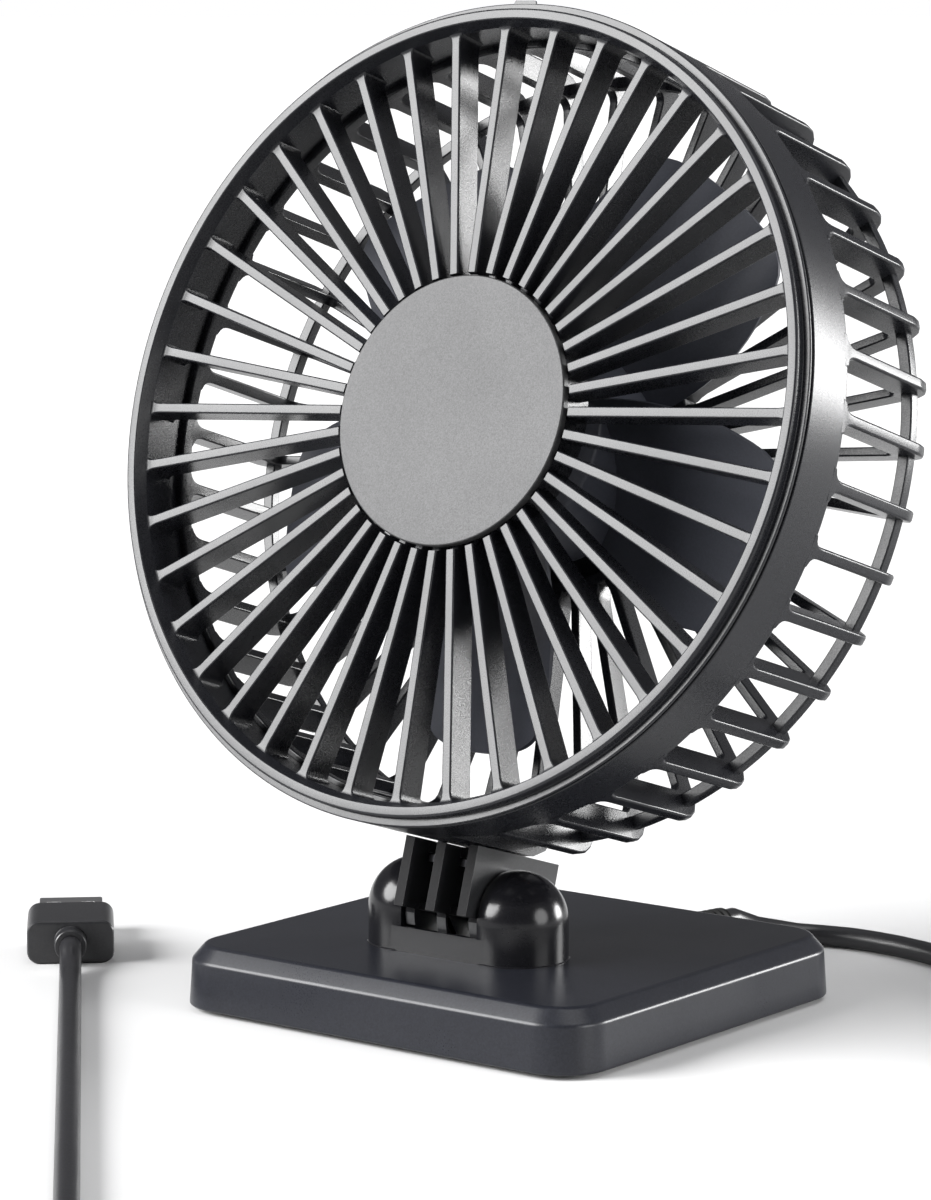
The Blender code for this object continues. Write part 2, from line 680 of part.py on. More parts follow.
def boss_places():
    reach_x, reach_y = BASE_X / 2 - 9, BASE_Y / 2 - 9
    return [(x * reach_x, y * reach_y) for x in (-1, 1) for y in (-1, 1)]


def base_inside(finishes):
    """Bottom plate, its screws and pad, the counterweight, the controls and their wiring."""
    room = 2 * SHELL_WALL + 2 * GAP
    plate_outline = rounded_rectangle(BASE_X - room, BASE_Y - room, CORNER_R - SHELL_WALL - GAP)
    plate = add_mesh("bottom_plate", *prism(plate_outline, PLATE_BOTTOM, PLATE_TOP), finishes["plastic"])
    for number, (x, y) in enumerate(boss_places(), 1):
        way = cylinder(1.3, 0.5, 5, 10, "Z")
        boolean(plate, "DIFFERENCE", guide(f"plate_hole_{number}", way, None, (x, y, 0)))
        profile = [(0, PAD_THICKNESS - 0.7), (2.2, PAD_THICKNESS - 0.7), (2.2, PAD_THICKNESS), (0.95, PAD_THICKNESS)]
        profile += [(0.95, 8.2), (0, 8.2)]
        add_mesh(f"base_screw_{number}", *turned(profile, 14, "Z"), finishes["screw"], None, (x, y, 0))
    rounded_bar("anti_slip_pad", 58, 52, 5, 0, PAD_THICKNESS, finishes["rubber"])
    weight_low = PLATE_TOP + GAP
    rounded_bar("counterweight", 62, 40, 2, weight_low, weight_low + 3.6, finishes["steel"], None, (0, -2, 0))

    board_low = PLATE_TOP + GAP
    add_mesh("control_board", *box((-29, 20, board_low), (3, 33, board_low + 1.2)), finishes["board"])
    switch_low = board_low + 1.2 + GAP
    switch = [(x + BUTTON_X, z + switch_low + 1.5) for x, z in rounded_rectangle(5.6, 3.0, 0.4, 2)]
    add_mesh("tact_switch", *prism(switch, 28.4, 32.0, "Y"), finishes["metal"])
    wall = BASE_Y / 2
    flange = rounded_rectangle(9, 5.2, 1.5)
    button = [
        (nearly_round(1.2), 33.3),
        (nearly_round(1.2), wall - 4.6),
        (flange, wall - 4.6),
        (flange, wall - 3.8),
        (nearly_round(BUTTON_R), wall - 3.8),
        (nearly_round(BUTTON_R), wall + 0.7),
        (nearly_round(BUTTON_R - 0.4), wall + 1.1),
    ]
    loops = [[facing("Y", *corner, along) for corner in outline] for outline, along in button]
    add_mesh("power_button", *stacked(loops), finishes["plastic"], None, (BUTTON_X, 0, REAR_Z))
    lead = [(0, 27, 6.4), (0, 22, 6.6), (0, 19.5, 8.0), (0, 16, 8.2), (0, 6, 8.2), (0, -3, 8.2)]
    add_tube("fan_lead", lead, 0.85, finishes["rubber"])
    add_tube("input_lead", [(GLAND_X, 34.2, 6.6), (7.4, 32.4, 6.6), (4.6, 30, 6.5), (1, 29, 6.4), (-1, 29, 6.35)], 0.85, finishes["rubber"])


def tilt_hardware(finishes):
    """Bolt through the ears and knuckles, with a washer and nut inside the right ear."""
    place = (0, PIVOT_Y, PIVOT_Z)
    wall = EAR_FACE_X + 1.8
    head = [(0, -wall - 2.6), (2.6, -wall - 2.6), (2.9, -wall - 2.2), (2.9, -wall - GAP), (BOLT_R, -wall - GAP)]
    head += [(BOLT_R, wall + 5.0), (0, wall + 5.0)]
    add_mesh("tilt_bolt", *turned(head, 16, "X"), finishes["screw"], None, place)
    add_mesh("friction_washer", *tube(3.0, BOLT_HOLE_R, wall + GAP, wall + 1.1, 20, "X"), finishes["rubber"], None, place)
    nut = add_mesh("tilt_nut", *cylinder(3.1, wall + 1.4, wall + 3.8, 6, "X"), finishes["bright"], None, place)
    bore = cylinder(BOLT_HOLE_R, wall, wall + 6, 16, "X")
    boolean(nut, "DIFFERENCE", guide("nut_bore", bore, None, place))


def usb_lead(finishes):
    """Strain relief, the lead with its tied coil, and the plug, all lying on the table."""
    wall = BASE_Y / 2
    relief = [
        (0, wall - 5.2),
        (2.9, wall - 5.2),
        (2.9, wall + 0.2),
        (3.4, wall + 0.3),
        (3.4, wall + 2.0),
        (2.5, GLAND_END),
        (0, GLAND_END),
    ]
    add_mesh("strain_relief", *turned(relief, 20), finishes["rubber"], None, (GLAND_X, 0, REAR_Z))
    edge = COIL_R + COIL_HALF_WIDTH
    ring = [
        (edge - 1.6, COIL_BOTTOM),
        (edge, COIL_BOTTOM + 1.6),
        (edge, COIL_BOTTOM + 3.4),
        (edge - 3.2, COIL_BOTTOM + COIL_HEIGHT),
        (edge - 2 * COIL_HALF_WIDTH + 3.2, COIL_BOTTOM + COIL_HEIGHT),
        (edge - 2 * COIL_HALF_WIDTH, COIL_BOTTOM + 3.4),
        (edge - 2 * COIL_HALF_WIDTH, COIL_BOTTOM + 1.6),
        (edge - 2 * COIL_HALF_WIDTH + 1.6, COIL_BOTTOM),
    ]
    add_mesh("lead_coil", *turned(ring, 36, "Z"), finishes["cord"], None, (COIL_X, COIL_Y, 0))
    middle = COIL_R - 0.2
    top = COIL_BOTTOM + COIL_HEIGHT + GAP
    height = top - COIL_BOTTOM + GAP

    def strap(grow):
        outline = rounded_rectangle(2 * COIL_HALF_WIDTH + 1.1 + 2 * grow, height + 2 * grow, 0.3 + grow, 2)
        return [(y + middle, z + COIL_BOTTOM - GAP + height / 2) for y, z in outline]

    tie = sleeve(strap(0.5), strap(0), -3.5, 3.5, "X")
    add_mesh("lead_tie", *tie, finishes["rubber"], None, (COIL_X, COIL_Y, 0))

    turn = Vector((-math.sin(PLUG_TURN), math.cos(PLUG_TURN), 0))
    middle_z = PLUG_HEIGHT / 2
    plug_end = Vector((PLUG_X, PLUG_Y, middle_z)) - turn * (COLLAR_LENGTH + GAP)
    entry = Vector((COIL_X, COIL_Y, 0)) - Vector((turn.y, -turn.x, 0)) * (COIL_R + COIL_HALF_WIDTH - LEAD_R)
    entry = entry + turn * 14.8
    entry.z = COIL_BOTTOM + LEAD_Z
    floor = plug_end - turn * 16
    floor.z = LEAD_Z
    first = plug_end - turn * 5
    first.z = middle_z - 0.5
    settle = entry + turn * 16
    settle.z = LEAD_Z
    half_way = (floor + settle) / 2
    route = [plug_end, first, floor, half_way, settle, entry]
    add_tube("lead_to_plug", on_table(smooth_route(route, 9)), LEAD_R, finishes["cord"])
    route = [
        (GLAND_X, GLAND_END + GAP, REAR_Z),
        (GLAND_X, GLAND_END + 3.5, REAR_Z - 0.1),
        (GLAND_X + 1.4, GLAND_END + 9, REAR_Z - 2.4),
        (GLAND_X + 6.5, GLAND_END + 15, LEAD_Z + 0.2),
        (GLAND_X + 16, GLAND_END + 18.5, LEAD_Z),
        (40, 70, LEAD_Z),
        (58, 62, LEAD_Z),
        (78, 40, LEAD_Z),
        (108, -6, LEAD_Z),
        (134, -48, LEAD_Z),
        (145, -86, LEAD_Z),
        (143, -118, LEAD_Z),
        (134, -146, LEAD_Z + 0.3),
        (125, -165, LEAD_Z + 2.0),
    ]
    add_tube("lead_to_coil", on_table(smooth_route(route, 9)), LEAD_R, finishes["cord"])

    plug = link(bpy.data.objects.new("plug", None), None, (PLUG_X, PLUG_Y, middle_z))
    plug.rotation_euler.z = PLUG_TURN
    grip = [
        (nearly_round(COLLAR_R - 0.2), -COLLAR_LENGTH),
        (nearly_round(COLLAR_R), -COLLAR_LENGTH + 0.3),
        (nearly_round(COLLAR_R), 0),
        (rounded_rectangle(PLUG_WIDTH - 0.6, PLUG_HEIGHT - 0.6, 2.0), 0),
        (rounded_rectangle(PLUG_WIDTH, PLUG_HEIGHT, 2.2), 0.3),
        (rounded_rectangle(PLUG_WIDTH, PLUG_HEIGHT, 2.2), PLUG_LENGTH - 0.4),
        (rounded_rectangle(PLUG_WIDTH - 0.8, PLUG_HEIGHT - 0.8, 1.9), PLUG_LENGTH),
    ]
    loops = [[facing("Y", *corner, along) for corner in outline] for outline, along in grip]
    add_mesh("plug_grip", *stacked(loops), finishes["plastic"], plug)
    outer = rounded_rectangle(SHELL_WIDTH, SHELL_HEIGHT, 0.5, 2)
    inner = rounded_rectangle(SHELL_WIDTH - 0.7, SHELL_HEIGHT - 0.7, 0.3, 2)
    low = PLUG_LENGTH + GAP
    shell = sleeve(outer, inner, low, low + SHELL_LENGTH, "Y")
    add_mesh("plug_shell", *shell, finishes["bright"], plug)
    tongue = [(x, z + 0.75) for x, z in rounded_rectangle(SHELL_WIDTH - 1.3, 1.7, 0.2, 2)]
    add_mesh("plug_tongue", *prism(tongue, low, low + SHELL_LENGTH - 1.2, "Y"), finishes["white"], plug)


def main():
    clear_scene()
    finishes = {
        "plastic": material("charcoal_plastic", (0.045, 0.048, 0.054), 0.38, 0.35),
        "disc": material("grey_disc", (0.16, 0.16, 0.17), 0.42, 0.5),
        "impeller": material("slate_plastic", (0.06, 0.066, 0.078), 0.4),
        "steel": material("dark_steel", (0.25, 0.25, 0.26), 0.4, 1.0),
        "bright": material("bright_steel", (0.6, 0.6, 0.61), 0.25, 1.0),
        "screw": material("black_screw", (0.05, 0.05, 0.05), 0.35, 1.0),
        "metal": material("nickel", (0.7, 0.7, 0.7), 0.25, 1.0),
        "brass": material("brass", (0.7, 0.5, 0.25), 0.3, 1.0),
        "bronze": material("bronze", (0.45, 0.3, 0.16), 0.4, 1.0),
        "copper": material("copper_wire", (0.6, 0.25, 0.1), 0.35, 1.0),
        "magnet": material("ferrite", (0.05, 0.05, 0.05), 0.6),
        "board": material("green_board", (0.02, 0.12, 0.05), 0.4),
        "rubber": material("black_rubber", (0.02, 0.02, 0.02), 0.8),
        "cord": material("black_cord", (0.015, 0.015, 0.016), 0.5),
        "white": material("white_insulator", (0.85, 0.85, 0.85), 0.5),
    }
    material("guide", (0.5, 0.5, 0.5), 0.5)
    pivot = link(bpy.data.objects.new("head_pivot", None), None, (0, PIVOT_Y, PIVOT_Z))
    pivot.rotation_euler.x = -HEAD_TILT
    head = link(bpy.data.objects.new("fan_axis", None), pivot, (0, -FRONT_SETBACK, AXIS_HEIGHT))
    spin = link(bpy.data.objects.new("spin_axis", None), head)
    base_shell(finishes["plastic"])
    pedestal(finishes["plastic"])
    base_inside(finishes)
    tilt_hardware(finishes)
    neck(finishes, pivot)
    rear_cage(finishes["plastic"], head)
    front_grille(finishes["plastic"], head)
    centre_disc(finishes["disc"], head)
    motor(finishes, head, spin)
    usb_lead(finishes)


main()
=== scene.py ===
"""Desk fan: detailed pieces, materials, floor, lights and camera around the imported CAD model.

Shapes are drawn in millimetres. The head's pieces are drawn upright about the fan axis, with y
rearwards from the front rim, and HEAD leans them back into the CAD model's frame.
"""

import math

import bmesh
import bpy
from mathutils import Matrix, Vector


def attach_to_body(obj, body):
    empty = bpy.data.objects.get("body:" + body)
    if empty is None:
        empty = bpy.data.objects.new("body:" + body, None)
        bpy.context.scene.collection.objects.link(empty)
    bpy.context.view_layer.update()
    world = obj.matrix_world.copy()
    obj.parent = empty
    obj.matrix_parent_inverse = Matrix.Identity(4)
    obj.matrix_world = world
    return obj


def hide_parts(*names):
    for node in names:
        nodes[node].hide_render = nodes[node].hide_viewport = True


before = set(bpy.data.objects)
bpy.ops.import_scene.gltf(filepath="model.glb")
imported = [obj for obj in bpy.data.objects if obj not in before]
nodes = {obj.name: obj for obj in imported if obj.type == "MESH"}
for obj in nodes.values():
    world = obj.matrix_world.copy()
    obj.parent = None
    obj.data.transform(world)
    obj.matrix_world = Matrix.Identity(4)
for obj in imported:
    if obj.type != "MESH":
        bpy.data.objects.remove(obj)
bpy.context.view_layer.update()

MM = 0.001
HEAD_TILT = math.radians(17.1)               # leaning back, at rest
PIVOT = (0.0, -11.8, 17.9)
AXIS_HEIGHT = 80.8                           # fan axis above the tilt axis, with the head upright
FRONT_SETBACK = 31.9                         # front rim ahead of the tilt axis, with the head upright

PIVOT_FRAME = Matrix.Translation(PIVOT) @ Matrix.Rotation(-HEAD_TILT, 4, "X")
HEAD = PIVOT_FRAME @ Matrix.Translation((0, -FRONT_SETBACK, AXIS_HEIGHT))
UPRIGHT = Matrix.Identity(4)


# Camera ---------------------------------------------------------------------------------------

CAMERA_AZIMUTH = 0.6598
CAMERA_ELEVATION = 0.1396
CAMERA_DISTANCE = 713.8
CAMERA_SHIFT = (-7.617, -15.485)             # across and up, square to the view
CAMERA_HEIGHT = 85.8                         # of the point on the Z axis that it turns about
LENS = 126
SENSOR = 36


def add_camera():
    data = bpy.data.cameras.new("camera")
    data.lens = LENS
    data.sensor_width = SENSOR
    data.clip_start = 0.01
    data.clip_end = 100
    camera = bpy.data.objects.new("camera", data)
    turn = Matrix.Rotation(CAMERA_AZIMUTH, 3, "Z") @ Matrix.Rotation(math.pi / 2 - CAMERA_ELEVATION, 3, "X")
    place = Vector((0, 0, CAMERA_HEIGHT)) + turn @ Vector((*CAMERA_SHIFT, CAMERA_DISTANCE))
    camera.matrix_world = Matrix.Translation(place * MM) @ turn.to_4x4()
    bpy.context.scene.collection.objects.link(camera)
    bpy.context.scene.camera = camera


add_camera()


# Materials ------------------------------------------------------------------------------------

CLOUD_SCALE = 45                             # of the broad unevenness in the gloss
CELL_SIZE = 1.2                              # of the flakes, in grains
GLOSS_SPREAD = 0.05
RELIEF = 0.02 * MM


def node_in(tree, kind, **values):
    made = tree.nodes.new(kind)
    for name, value in values.items():
        setattr(made, name, value)
    return made


def moulded(name, colour, roughness, metallic, specular, grain=0.25, flake=0.25, bump=0.25):
    """A finish with fine leathery grain, bright flakes in the colour and uneven gloss.

    grain and flake are the grain's size in millimetres and how much the flakes vary the colour.
    """
    made = bpy.data.materials.new(name)
    made.use_nodes = True
    tree = made.node_tree
    shader = tree.nodes["Principled BSDF"]
    shader.inputs["Metallic"].default_value = metallic
    shader.inputs["Specular IOR Level"].default_value = specular
    where = node_in(tree, "ShaderNodeTexCoord")
    fine = node_in(tree, "ShaderNodeTexNoise")
    fine.inputs["Scale"].default_value = 1 / (grain * MM)
    fine.inputs["Detail"].default_value = 2
    tree.links.new(where.outputs["Object"], fine.inputs["Vector"])
    broad = node_in(tree, "ShaderNodeTexNoise")
    broad.inputs["Scale"].default_value = CLOUD_SCALE
    broad.inputs["Detail"].default_value = 3
    tree.links.new(where.outputs["Object"], broad.inputs["Vector"])
    cells = node_in(tree, "ShaderNodeTexVoronoi")
    cells.inputs["Scale"].default_value = 1 / (grain * CELL_SIZE * MM)
    tree.links.new(where.outputs["Object"], cells.inputs["Vector"])

    shade = node_in(tree, "ShaderNodeMapRange")
    shade.inputs["To Min"].default_value = 1 - flake
    shade.inputs["To Max"].default_value = 1 + flake
    tree.links.new(cells.outputs["Color"], shade.inputs["Value"])
    tint = node_in(tree, "ShaderNodeMix", data_type="RGBA", blend_type="MULTIPLY")
    tint.inputs["Factor"].default_value = 1
    tint.inputs["A"].default_value = (*colour, 1)
    tree.links.new(shade.outputs["Result"], tint.inputs["B"])
    tree.links.new(tint.outputs["Result"], shader.inputs["Base Color"])

    gloss = node_in(tree, "ShaderNodeMath", operation="ADD")
    tree.links.new(fine.outputs["Fac"], gloss.inputs[0])
    tree.links.new(broad.outputs["Fac"], gloss.inputs[1])
    spread = node_in(tree, "ShaderNodeMapRange")
    spread.inputs["From Min"].default_value = 0.6
    spread.inputs["From Max"].default_value = 1.4
    spread.inputs["To Min"].default_value = roughness - GLOSS_SPREAD
    spread.inputs["To Max"].default_value = roughness + GLOSS_SPREAD
    tree.links.new(gloss.outputs["Value"], spread.inputs["Value"])
    tree.links.new(spread.outputs["Result"], shader.inputs["Roughness"])

    relief = node_in(tree, "ShaderNodeBump")
    relief.inputs["Strength"].default_value = bump
    relief.inputs["Distance"].default_value = RELIEF
    tree.links.new(fine.outputs["Fac"], relief.inputs["Height"])
    tree.links.new(relief.outputs["Normal"], shader.inputs["Normal"])
    return made


FINISHES = {
    "shell": moulded("satin_charcoal", (0.012, 0.0125, 0.015), 0.28, 0.0, 0.34),
    "base": moulded("satin_charcoal_base", (0.014, 0.015, 0.02), 0.31, 0.0, 0.33),
    "disc": moulded("satin_grey", (0.036, 0.036, 0.037), 0.36, 0.2, 0.24, grain=0.16, flake=0.4),
    "blade": moulded("slate_blades", (0.05, 0.053, 0.066), 0.42, 0.0, 0.3, flake=0.1),
    "knuckle": moulded("charcoal_neck", (0.02, 0.0205, 0.022), 0.33, 0.0, 0.5),
    # a darker, duller copy of the neck's finish: painted shade for the neck's forward faces
    "knuckle_painted_shade": moulded("charcoal_neck_painted_shade", (0.009, 0.009, 0.01), 0.4, 0.0, 0.05),
    "ear": moulded("gloss_charcoal", (0.007, 0.007, 0.0085), 0.19, 0.0, 0.3, flake=0.15),
    "grip": moulded("soft_black", (0.016, 0.016, 0.018), 0.36, 0.0, 0.6),
    "cord": moulded("cord_jacket", (0.014, 0.014, 0.016), 0.34, 0.0, 0.55, grain=0.4, flake=0.1),
    "rubber": moulded("black_rubber", (0.018, 0.018, 0.018), 0.7, 0.0, 0.3, grain=0.5, bump=0.5),
    "steel": moulded("zinc_steel", (0.45, 0.45, 0.46), 0.32, 1.0, 0.5, flake=0.15),
    "chrome": moulded("nickel_plate", (0.82, 0.82, 0.82), 0.14, 1.0, 0.5, flake=0.03, bump=0.05),
    "screw": moulded("black_oxide", (0.06, 0.06, 0.065), 0.34, 1.0, 0.5, flake=0.15),
    "gold": moulded("gold_plate", (0.75, 0.48, 0.14), 0.25, 1.0, 0.5, flake=0.05, bump=0.05),
    "brass": moulded("turned_brass", (0.62, 0.45, 0.2), 0.3, 1.0, 0.5, flake=0.1),
    "bronze": moulded("sintered_bronze", (0.4, 0.27, 0.15), 0.5, 1.0, 0.5, flake=0.35),
    "copper": moulded("enamelled_copper", (0.55, 0.2, 0.07), 0.3, 1.0, 0.5, grain=0.6, flake=0.3),
    "ferrite": moulded("ferrite", (0.035, 0.034, 0.033), 0.6, 0.2, 0.4, flake=0.3),
    "board": moulded("solder_mask", (0.012, 0.09, 0.035), 0.3, 0.0, 0.5, grain=1.5, flake=0.2),
    "white": moulded("white_insulator", (0.78, 0.78, 0.76), 0.45, 0.0, 0.4, flake=0.03),
}

CAD_FINISHES = {
    "shell": ["bottom_plate", "power_button", "motor_cap"],
    "rubber": ["anti_slip_pad", "friction_washer", "lead_tie", "fan_lead", "input_lead", "motor_lead"],
    "steel": ["counterweight", "stator_core", "rotor_cup"],
    "chrome": ["tilt_nut", "rotor_shaft", "shaft_clip", "tact_switch"],
    "screw": ["tilt_bolt"],
    "brass": ["bearing_tube"],
    "bronze": ["front_bearing", "rear_bearing"],
    "copper": ["front_winding", "rear_winding"],
    "ferrite": ["magnet_ring"],
    "board": ["control_board", "motor_board"],
    "white": ["plug_tongue"],
}
CAD_FINISHES["screw"] += [name for name in nodes if "_screw_" in name]

for finish, names in CAD_FINISHES.items():
    for name in names:
        for slot in nodes[name].material_slots:
            slot.material = FINISHES[finish]


# Mesh helpers ---------------------------------------------------------------------------------

MOST_REACH = 0.49                            # the share of an edge that one fillet may take
AXIS_GAP = 0.001                             # a turned outline that is solid stays this far off its axis
WELD = 0.004 * MM
FLAT_WITHIN = math.radians(1)
BEVEL_SHARP = math.radians(50)


def piece(name, shape, finish, body, place=UPRIGHT, replaces=(), sharp=32):
    """An object from (points, faces) in millimetres, facing out and smooth up to a sharp angle.

    It rides on its body at once, or later, through attach, where body is None.
    """
    points, faces = shape
    mesh = bpy.data.meshes.new(name)
    mesh.from_pydata([place @ Vector(point) * MM for point in points], [], faces)
    shell = bmesh.new()
    shell.from_mesh(mesh)
    bmesh.ops.recalc_face_normals(shell, faces=shell.faces)
    shell.to_mesh(mesh)
    shell.free()
    mesh.shade_smooth()
    mesh.set_sharp_from_angle(angle=math.radians(sharp))
    made = bpy.data.objects.new(name, mesh)
    made.data.materials.append(FINISHES[finish])
    bpy.context.scene.collection.objects.link(made)
    if body:
        flat_faces_stay_flat(made)
        attach(made, body, replaces)
    return made


def flat_faces_stay_flat(made):
    """Large faces keep their own normal, so that only the rounded edges between them blend."""
    step = made.modifiers.new("normals", "WEIGHTED_NORMAL")
    step.keep_sharp = True
    settle(made)


def attach(made, body, replaces):
    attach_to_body(made, body)
    if replaces:
        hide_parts(*replaces)


def joined(*shapes):
    """Several shapes as one, each still a closed body."""
    points, faces = [], []
    for some, those in shapes:
        low = len(points)
        points += some
        faces += [[low + index for index in face] for face in those]
    return points, faces


def facing(axis, across, up, along):
    """A point from its place across an axis and along it."""
    if axis == "X":
        return (along, across, up)
    if axis == "Y":
        return (across, along, up)
    return (across, up, along)


def filleted(corners, steps=3):
    """A closed outline from (x, y, radius) corners, each rounded by its radius."""
    outline = []
    for index, (x, y, radius) in enumerate(corners):
        here = Vector((x, y))
        if radius <= 0:
            outline.append((x, y))
            continue
        back = Vector(corners[index - 1][:2]) - here
        ahead = Vector(corners[(index + 1) % len(corners)][:2]) - here
        half = back.angle(ahead) / 2
        reach = min(radius / math.tan(half), MOST_REACH * back.length, MOST_REACH * ahead.length)
        radius = reach * math.tan(half)
        centre = here + (back.normalized() + ahead.normalized()).normalized() * radius / math.sin(half)
        first = here + back.normalized() * reach - centre
        last = here + ahead.normalized() * reach - centre
        turn = first.angle_signed(last)
        for step in range(steps + 1):
            point = centre + Matrix.Rotation(-turn * step / steps, 2) @ first
            outline.append((point.x, point.y))
    return outline


def arc(centre, radius, start, end, steps):
    """Points along an arc, from one angle in degrees to another."""
    turns = [math.radians(start + (end - start) * step / steps) for step in range(steps + 1)]
    return [(centre[0] + radius * math.cos(turn), centre[1] + radius * math.sin(turn)) for turn in turns]


def turned(profile, segments, axis="Y", start=0.0, sweep=None):
    """A closed outline of (radius, along) turned about an axis, all round or over a sweep."""
    rows = segments if sweep is None else segments + 1
    sweep = 2 * math.pi if sweep is None else sweep
    points = []
    for row in range(rows):
        angle = start + sweep * row / segments
        points += [facing(axis, r * math.cos(angle), r * math.sin(angle), along) for r, along in profile]
    count = len(profile)
    faces = []
    for row in range(segments):
        low, high = row * count, (row + 1) % rows * count
        for n in range(count):
            after = (n + 1) % count
            faces.append([low + n, low + after, high + after, high + n])
    if rows > segments:
        faces += [list(range(count)), list(range(segments * count, rows * count))]
    return points, faces


def spun(profile, segments, axis="Y"):
    """An open profile that starts and ends on the axis, turned into a closed body."""
    points, faces = turned(profile, segments, axis)
    bridge = len(profile)
    return points, [face for face in faces if not {face[0] % bridge, face[1] % bridge} == {0, bridge - 1}]


def rod(radius, low, high, segments, axis="Y"):
    return turned([(AXIS_GAP, low), (radius, low), (radius, high), (AXIS_GAP, high)], segments, axis)


def stacked(loops, closed=False):
    """Skin over loops of equally many points, capped, or with the last loop joined to the first."""
    count = len(loops[0])
    points = [point for loop in loops for point in loop]
    faces = []
    levels = len(loops) if closed else len(loops) - 1
    for level in range(levels):
        low, high = level * count, (level + 1) % len(loops) * count
        for n in range(count):
            after = (n + 1) % count
            faces.append([low + n, low + after, high + after, high + n])
    if not closed:
        faces += [list(range(count)), list(range(len(points) - count, len(points)))]
    return points, faces


def prism(outline, low, high, axis="Z"):
    return stacked([[facing(axis, *corner, end) for corner in outline] for end in (low, high)])


def box(low, high):
    outline = [(low[0], low[1]), (high[0], low[1]), (high[0], high[1]), (low[0], high[1])]
    return prism(outline, low[2], high[2])


def rounded_rectangle(width, height, radius, steps=12):
    x, y = width / 2, height / 2
    return filleted([(x, -y, radius), (x, y, radius), (-x, y, radius), (-x, -y, radius)], steps)


def combined(made, tool, operation):
    """Cuts the tool from an object, or joins it on, and removes the tool."""
    step = made.modifiers.new("combined", "BOOLEAN")
    step.operation = operation
    step.object = tool
    step.solver = "EXACT"
    settle(made)
    bpy.data.objects.remove(tool, do_unlink=True)


def cut(made, shape, place=UPRIGHT):
    combined(made, piece("tool", shape, "shell", None, place), "DIFFERENCE")


def settle(made):
    """Applies an object's modifiers."""
    graph = bpy.context.evaluated_depsgraph_get()
    mesh = bpy.data.meshes.new_from_object(made.evaluated_get(graph))
    old = made.data
    made.modifiers.clear()
    made.data = mesh
    bpy.data.meshes.remove(old)


def bevelled(made, width, segments, angle):
    """Rounds an object's edges that are sharper than an angle in degrees."""
    shell = bmesh.new()
    shell.from_mesh(made.data)
    bmesh.ops.remove_doubles(shell, verts=shell.verts, dist=WELD)
    bmesh.ops.dissolve_limit(
        shell, angle_limit=FLAT_WITHIN, verts=shell.verts, edges=shell.edges, delimit={"NORMAL"}
    )
    shell.to_mesh(made.data)
    shell.free()
    step = made.modifiers.new("bevel", "BEVEL")
    step.width = width * MM
    step.segments = segments
    step.limit_method = "ANGLE"
    step.angle_limit = math.radians(angle)
    settle(made)
    made.data.shade_smooth()
    made.data.set_sharp_from_angle(angle=BEVEL_SHARP)
    flat_faces_stay_flat(made)


# Head -----------------------------------------------------------------------------------------
# Depths run back from the front rim, and radii out from the fan axis.

RING_R = 70.0
HEAD_DEPTH = 42.0
RIBS = 40
RIB_PITCH = 2 * math.pi / RIBS
FRONT_PHASE = math.radians(3)

RIM_INNER_R = 66.9
RIM_OUTER_R = 68.7
THROAT_R = 66.0
THROAT_FRONT = 2.3
LIP_DEPTH = 1.85
LIP_REAR = 2.32
SKIRT_R = 67.7
SKIRT_REAR = 10.5
FRONT_RIB_HALF = 0.9
FRONT_RIB_BACK = 7.9
FRONT_HUB_R = 22.4
FRONT_HUB_WALL = 1.8
FRONT_HUB_FRONT = 3.5
FRONT_HUB_REAR = 10.2
FRONT_HUB_BORE_R = 6.0

DISC_R = 23.1
DISC_FRONT = 1.8
DISC_BACK = 3.2
BOSS_R = 5.7
BOSS_REAR = 6.2

BAND_FRONT = 3.0
BAND_REAR = 13.4
BAND_BORE = 68.0
BAND_LEDGE = 10.8
CAGE_INNER_R = 65.0
CAGE_CORNER_R = 5.0
SIDE_RIB_HALF = 1.0
REAR_RIB_HALF = 0.8
REAR_RIB_FRONT = 37.8
REAR_RING_R = (65.7, 67.8)
REAR_RING_DEPTH = (37.2, 39.4)
REAR_HUB_R = 24.0
REAR_HUB_WALL = 2.0
MOUNT_PLATE = 2.2
MOUNT_BORE_R = 5.0
PANEL_SWEEP = math.radians(12.8)             # of the panel at the bottom, which the neck meets

BLADES = 5
BLADE_ROOT_R = 18.8
BLADE_TIP_R = 54.0
BLADE_TIP_ROUND = 6.0                        # how much less it reaches at its two edges
BLADE_LEADING = (94, 107)                    # angles in degrees of the rear edge, at root and tip
BLADE_TRAILING = (163, 146)                  # and of the front edge
BLADE_REAR = (34, 31)                        # depths of the rear edge, at root and tip
BLADE_FRONT = (16, 21)                       # and of the front edge
BLADE_HALF = 0.75                            # half its thickness
BLADE_CAMBER = 1.4
HUB_R = 20.0
HUB_BORE_R = 18.3
HUB_FRONT = 15.0
HUB_FLOOR = 16.8
HUB_REAR = 34.5

NECK_HALF = 7.7
NECK_WALL = 1.9
NECK_FRONT = -10.7
NECK_REAR = 13.0
NECK_TOP = 11.6
KNUCKLE_R = 7.3
BOLT_HOLE_R = 1.8


def mixed(ends, amount):
    return ends[0] + (ends[1] - ends[0]) * amount


def lofted_rib(angle, stations, outer_round, inner_round):
    """A rib through stations of (outer, inner, half width): each a rounded bar across the rib.

    outer and inner are the (radius, depth) of the bar's end outside the head and of the one inside.
    """
    outward = Vector((math.cos(angle), 0, math.sin(angle)))
    sideways = Vector((-math.sin(angle), 0, math.cos(angle)))
    loops = []
    for outer, inner, half in stations:
        far = outward * outer[0] + Vector((0, outer[1], 0))
        near = outward * inner[0] + Vector((0, inner[1], 0))
        length = (far - near).length
        along = (far - near) / length
        corners = [
            (-half, 0, inner_round),
            (half, 0, inner_round),
            (half, length, outer_round),
            (-half, length, outer_round),
        ]
        loops.append([near + sideways * x + along * y for x, y in filleted(corners)])
    return stacked(loops)


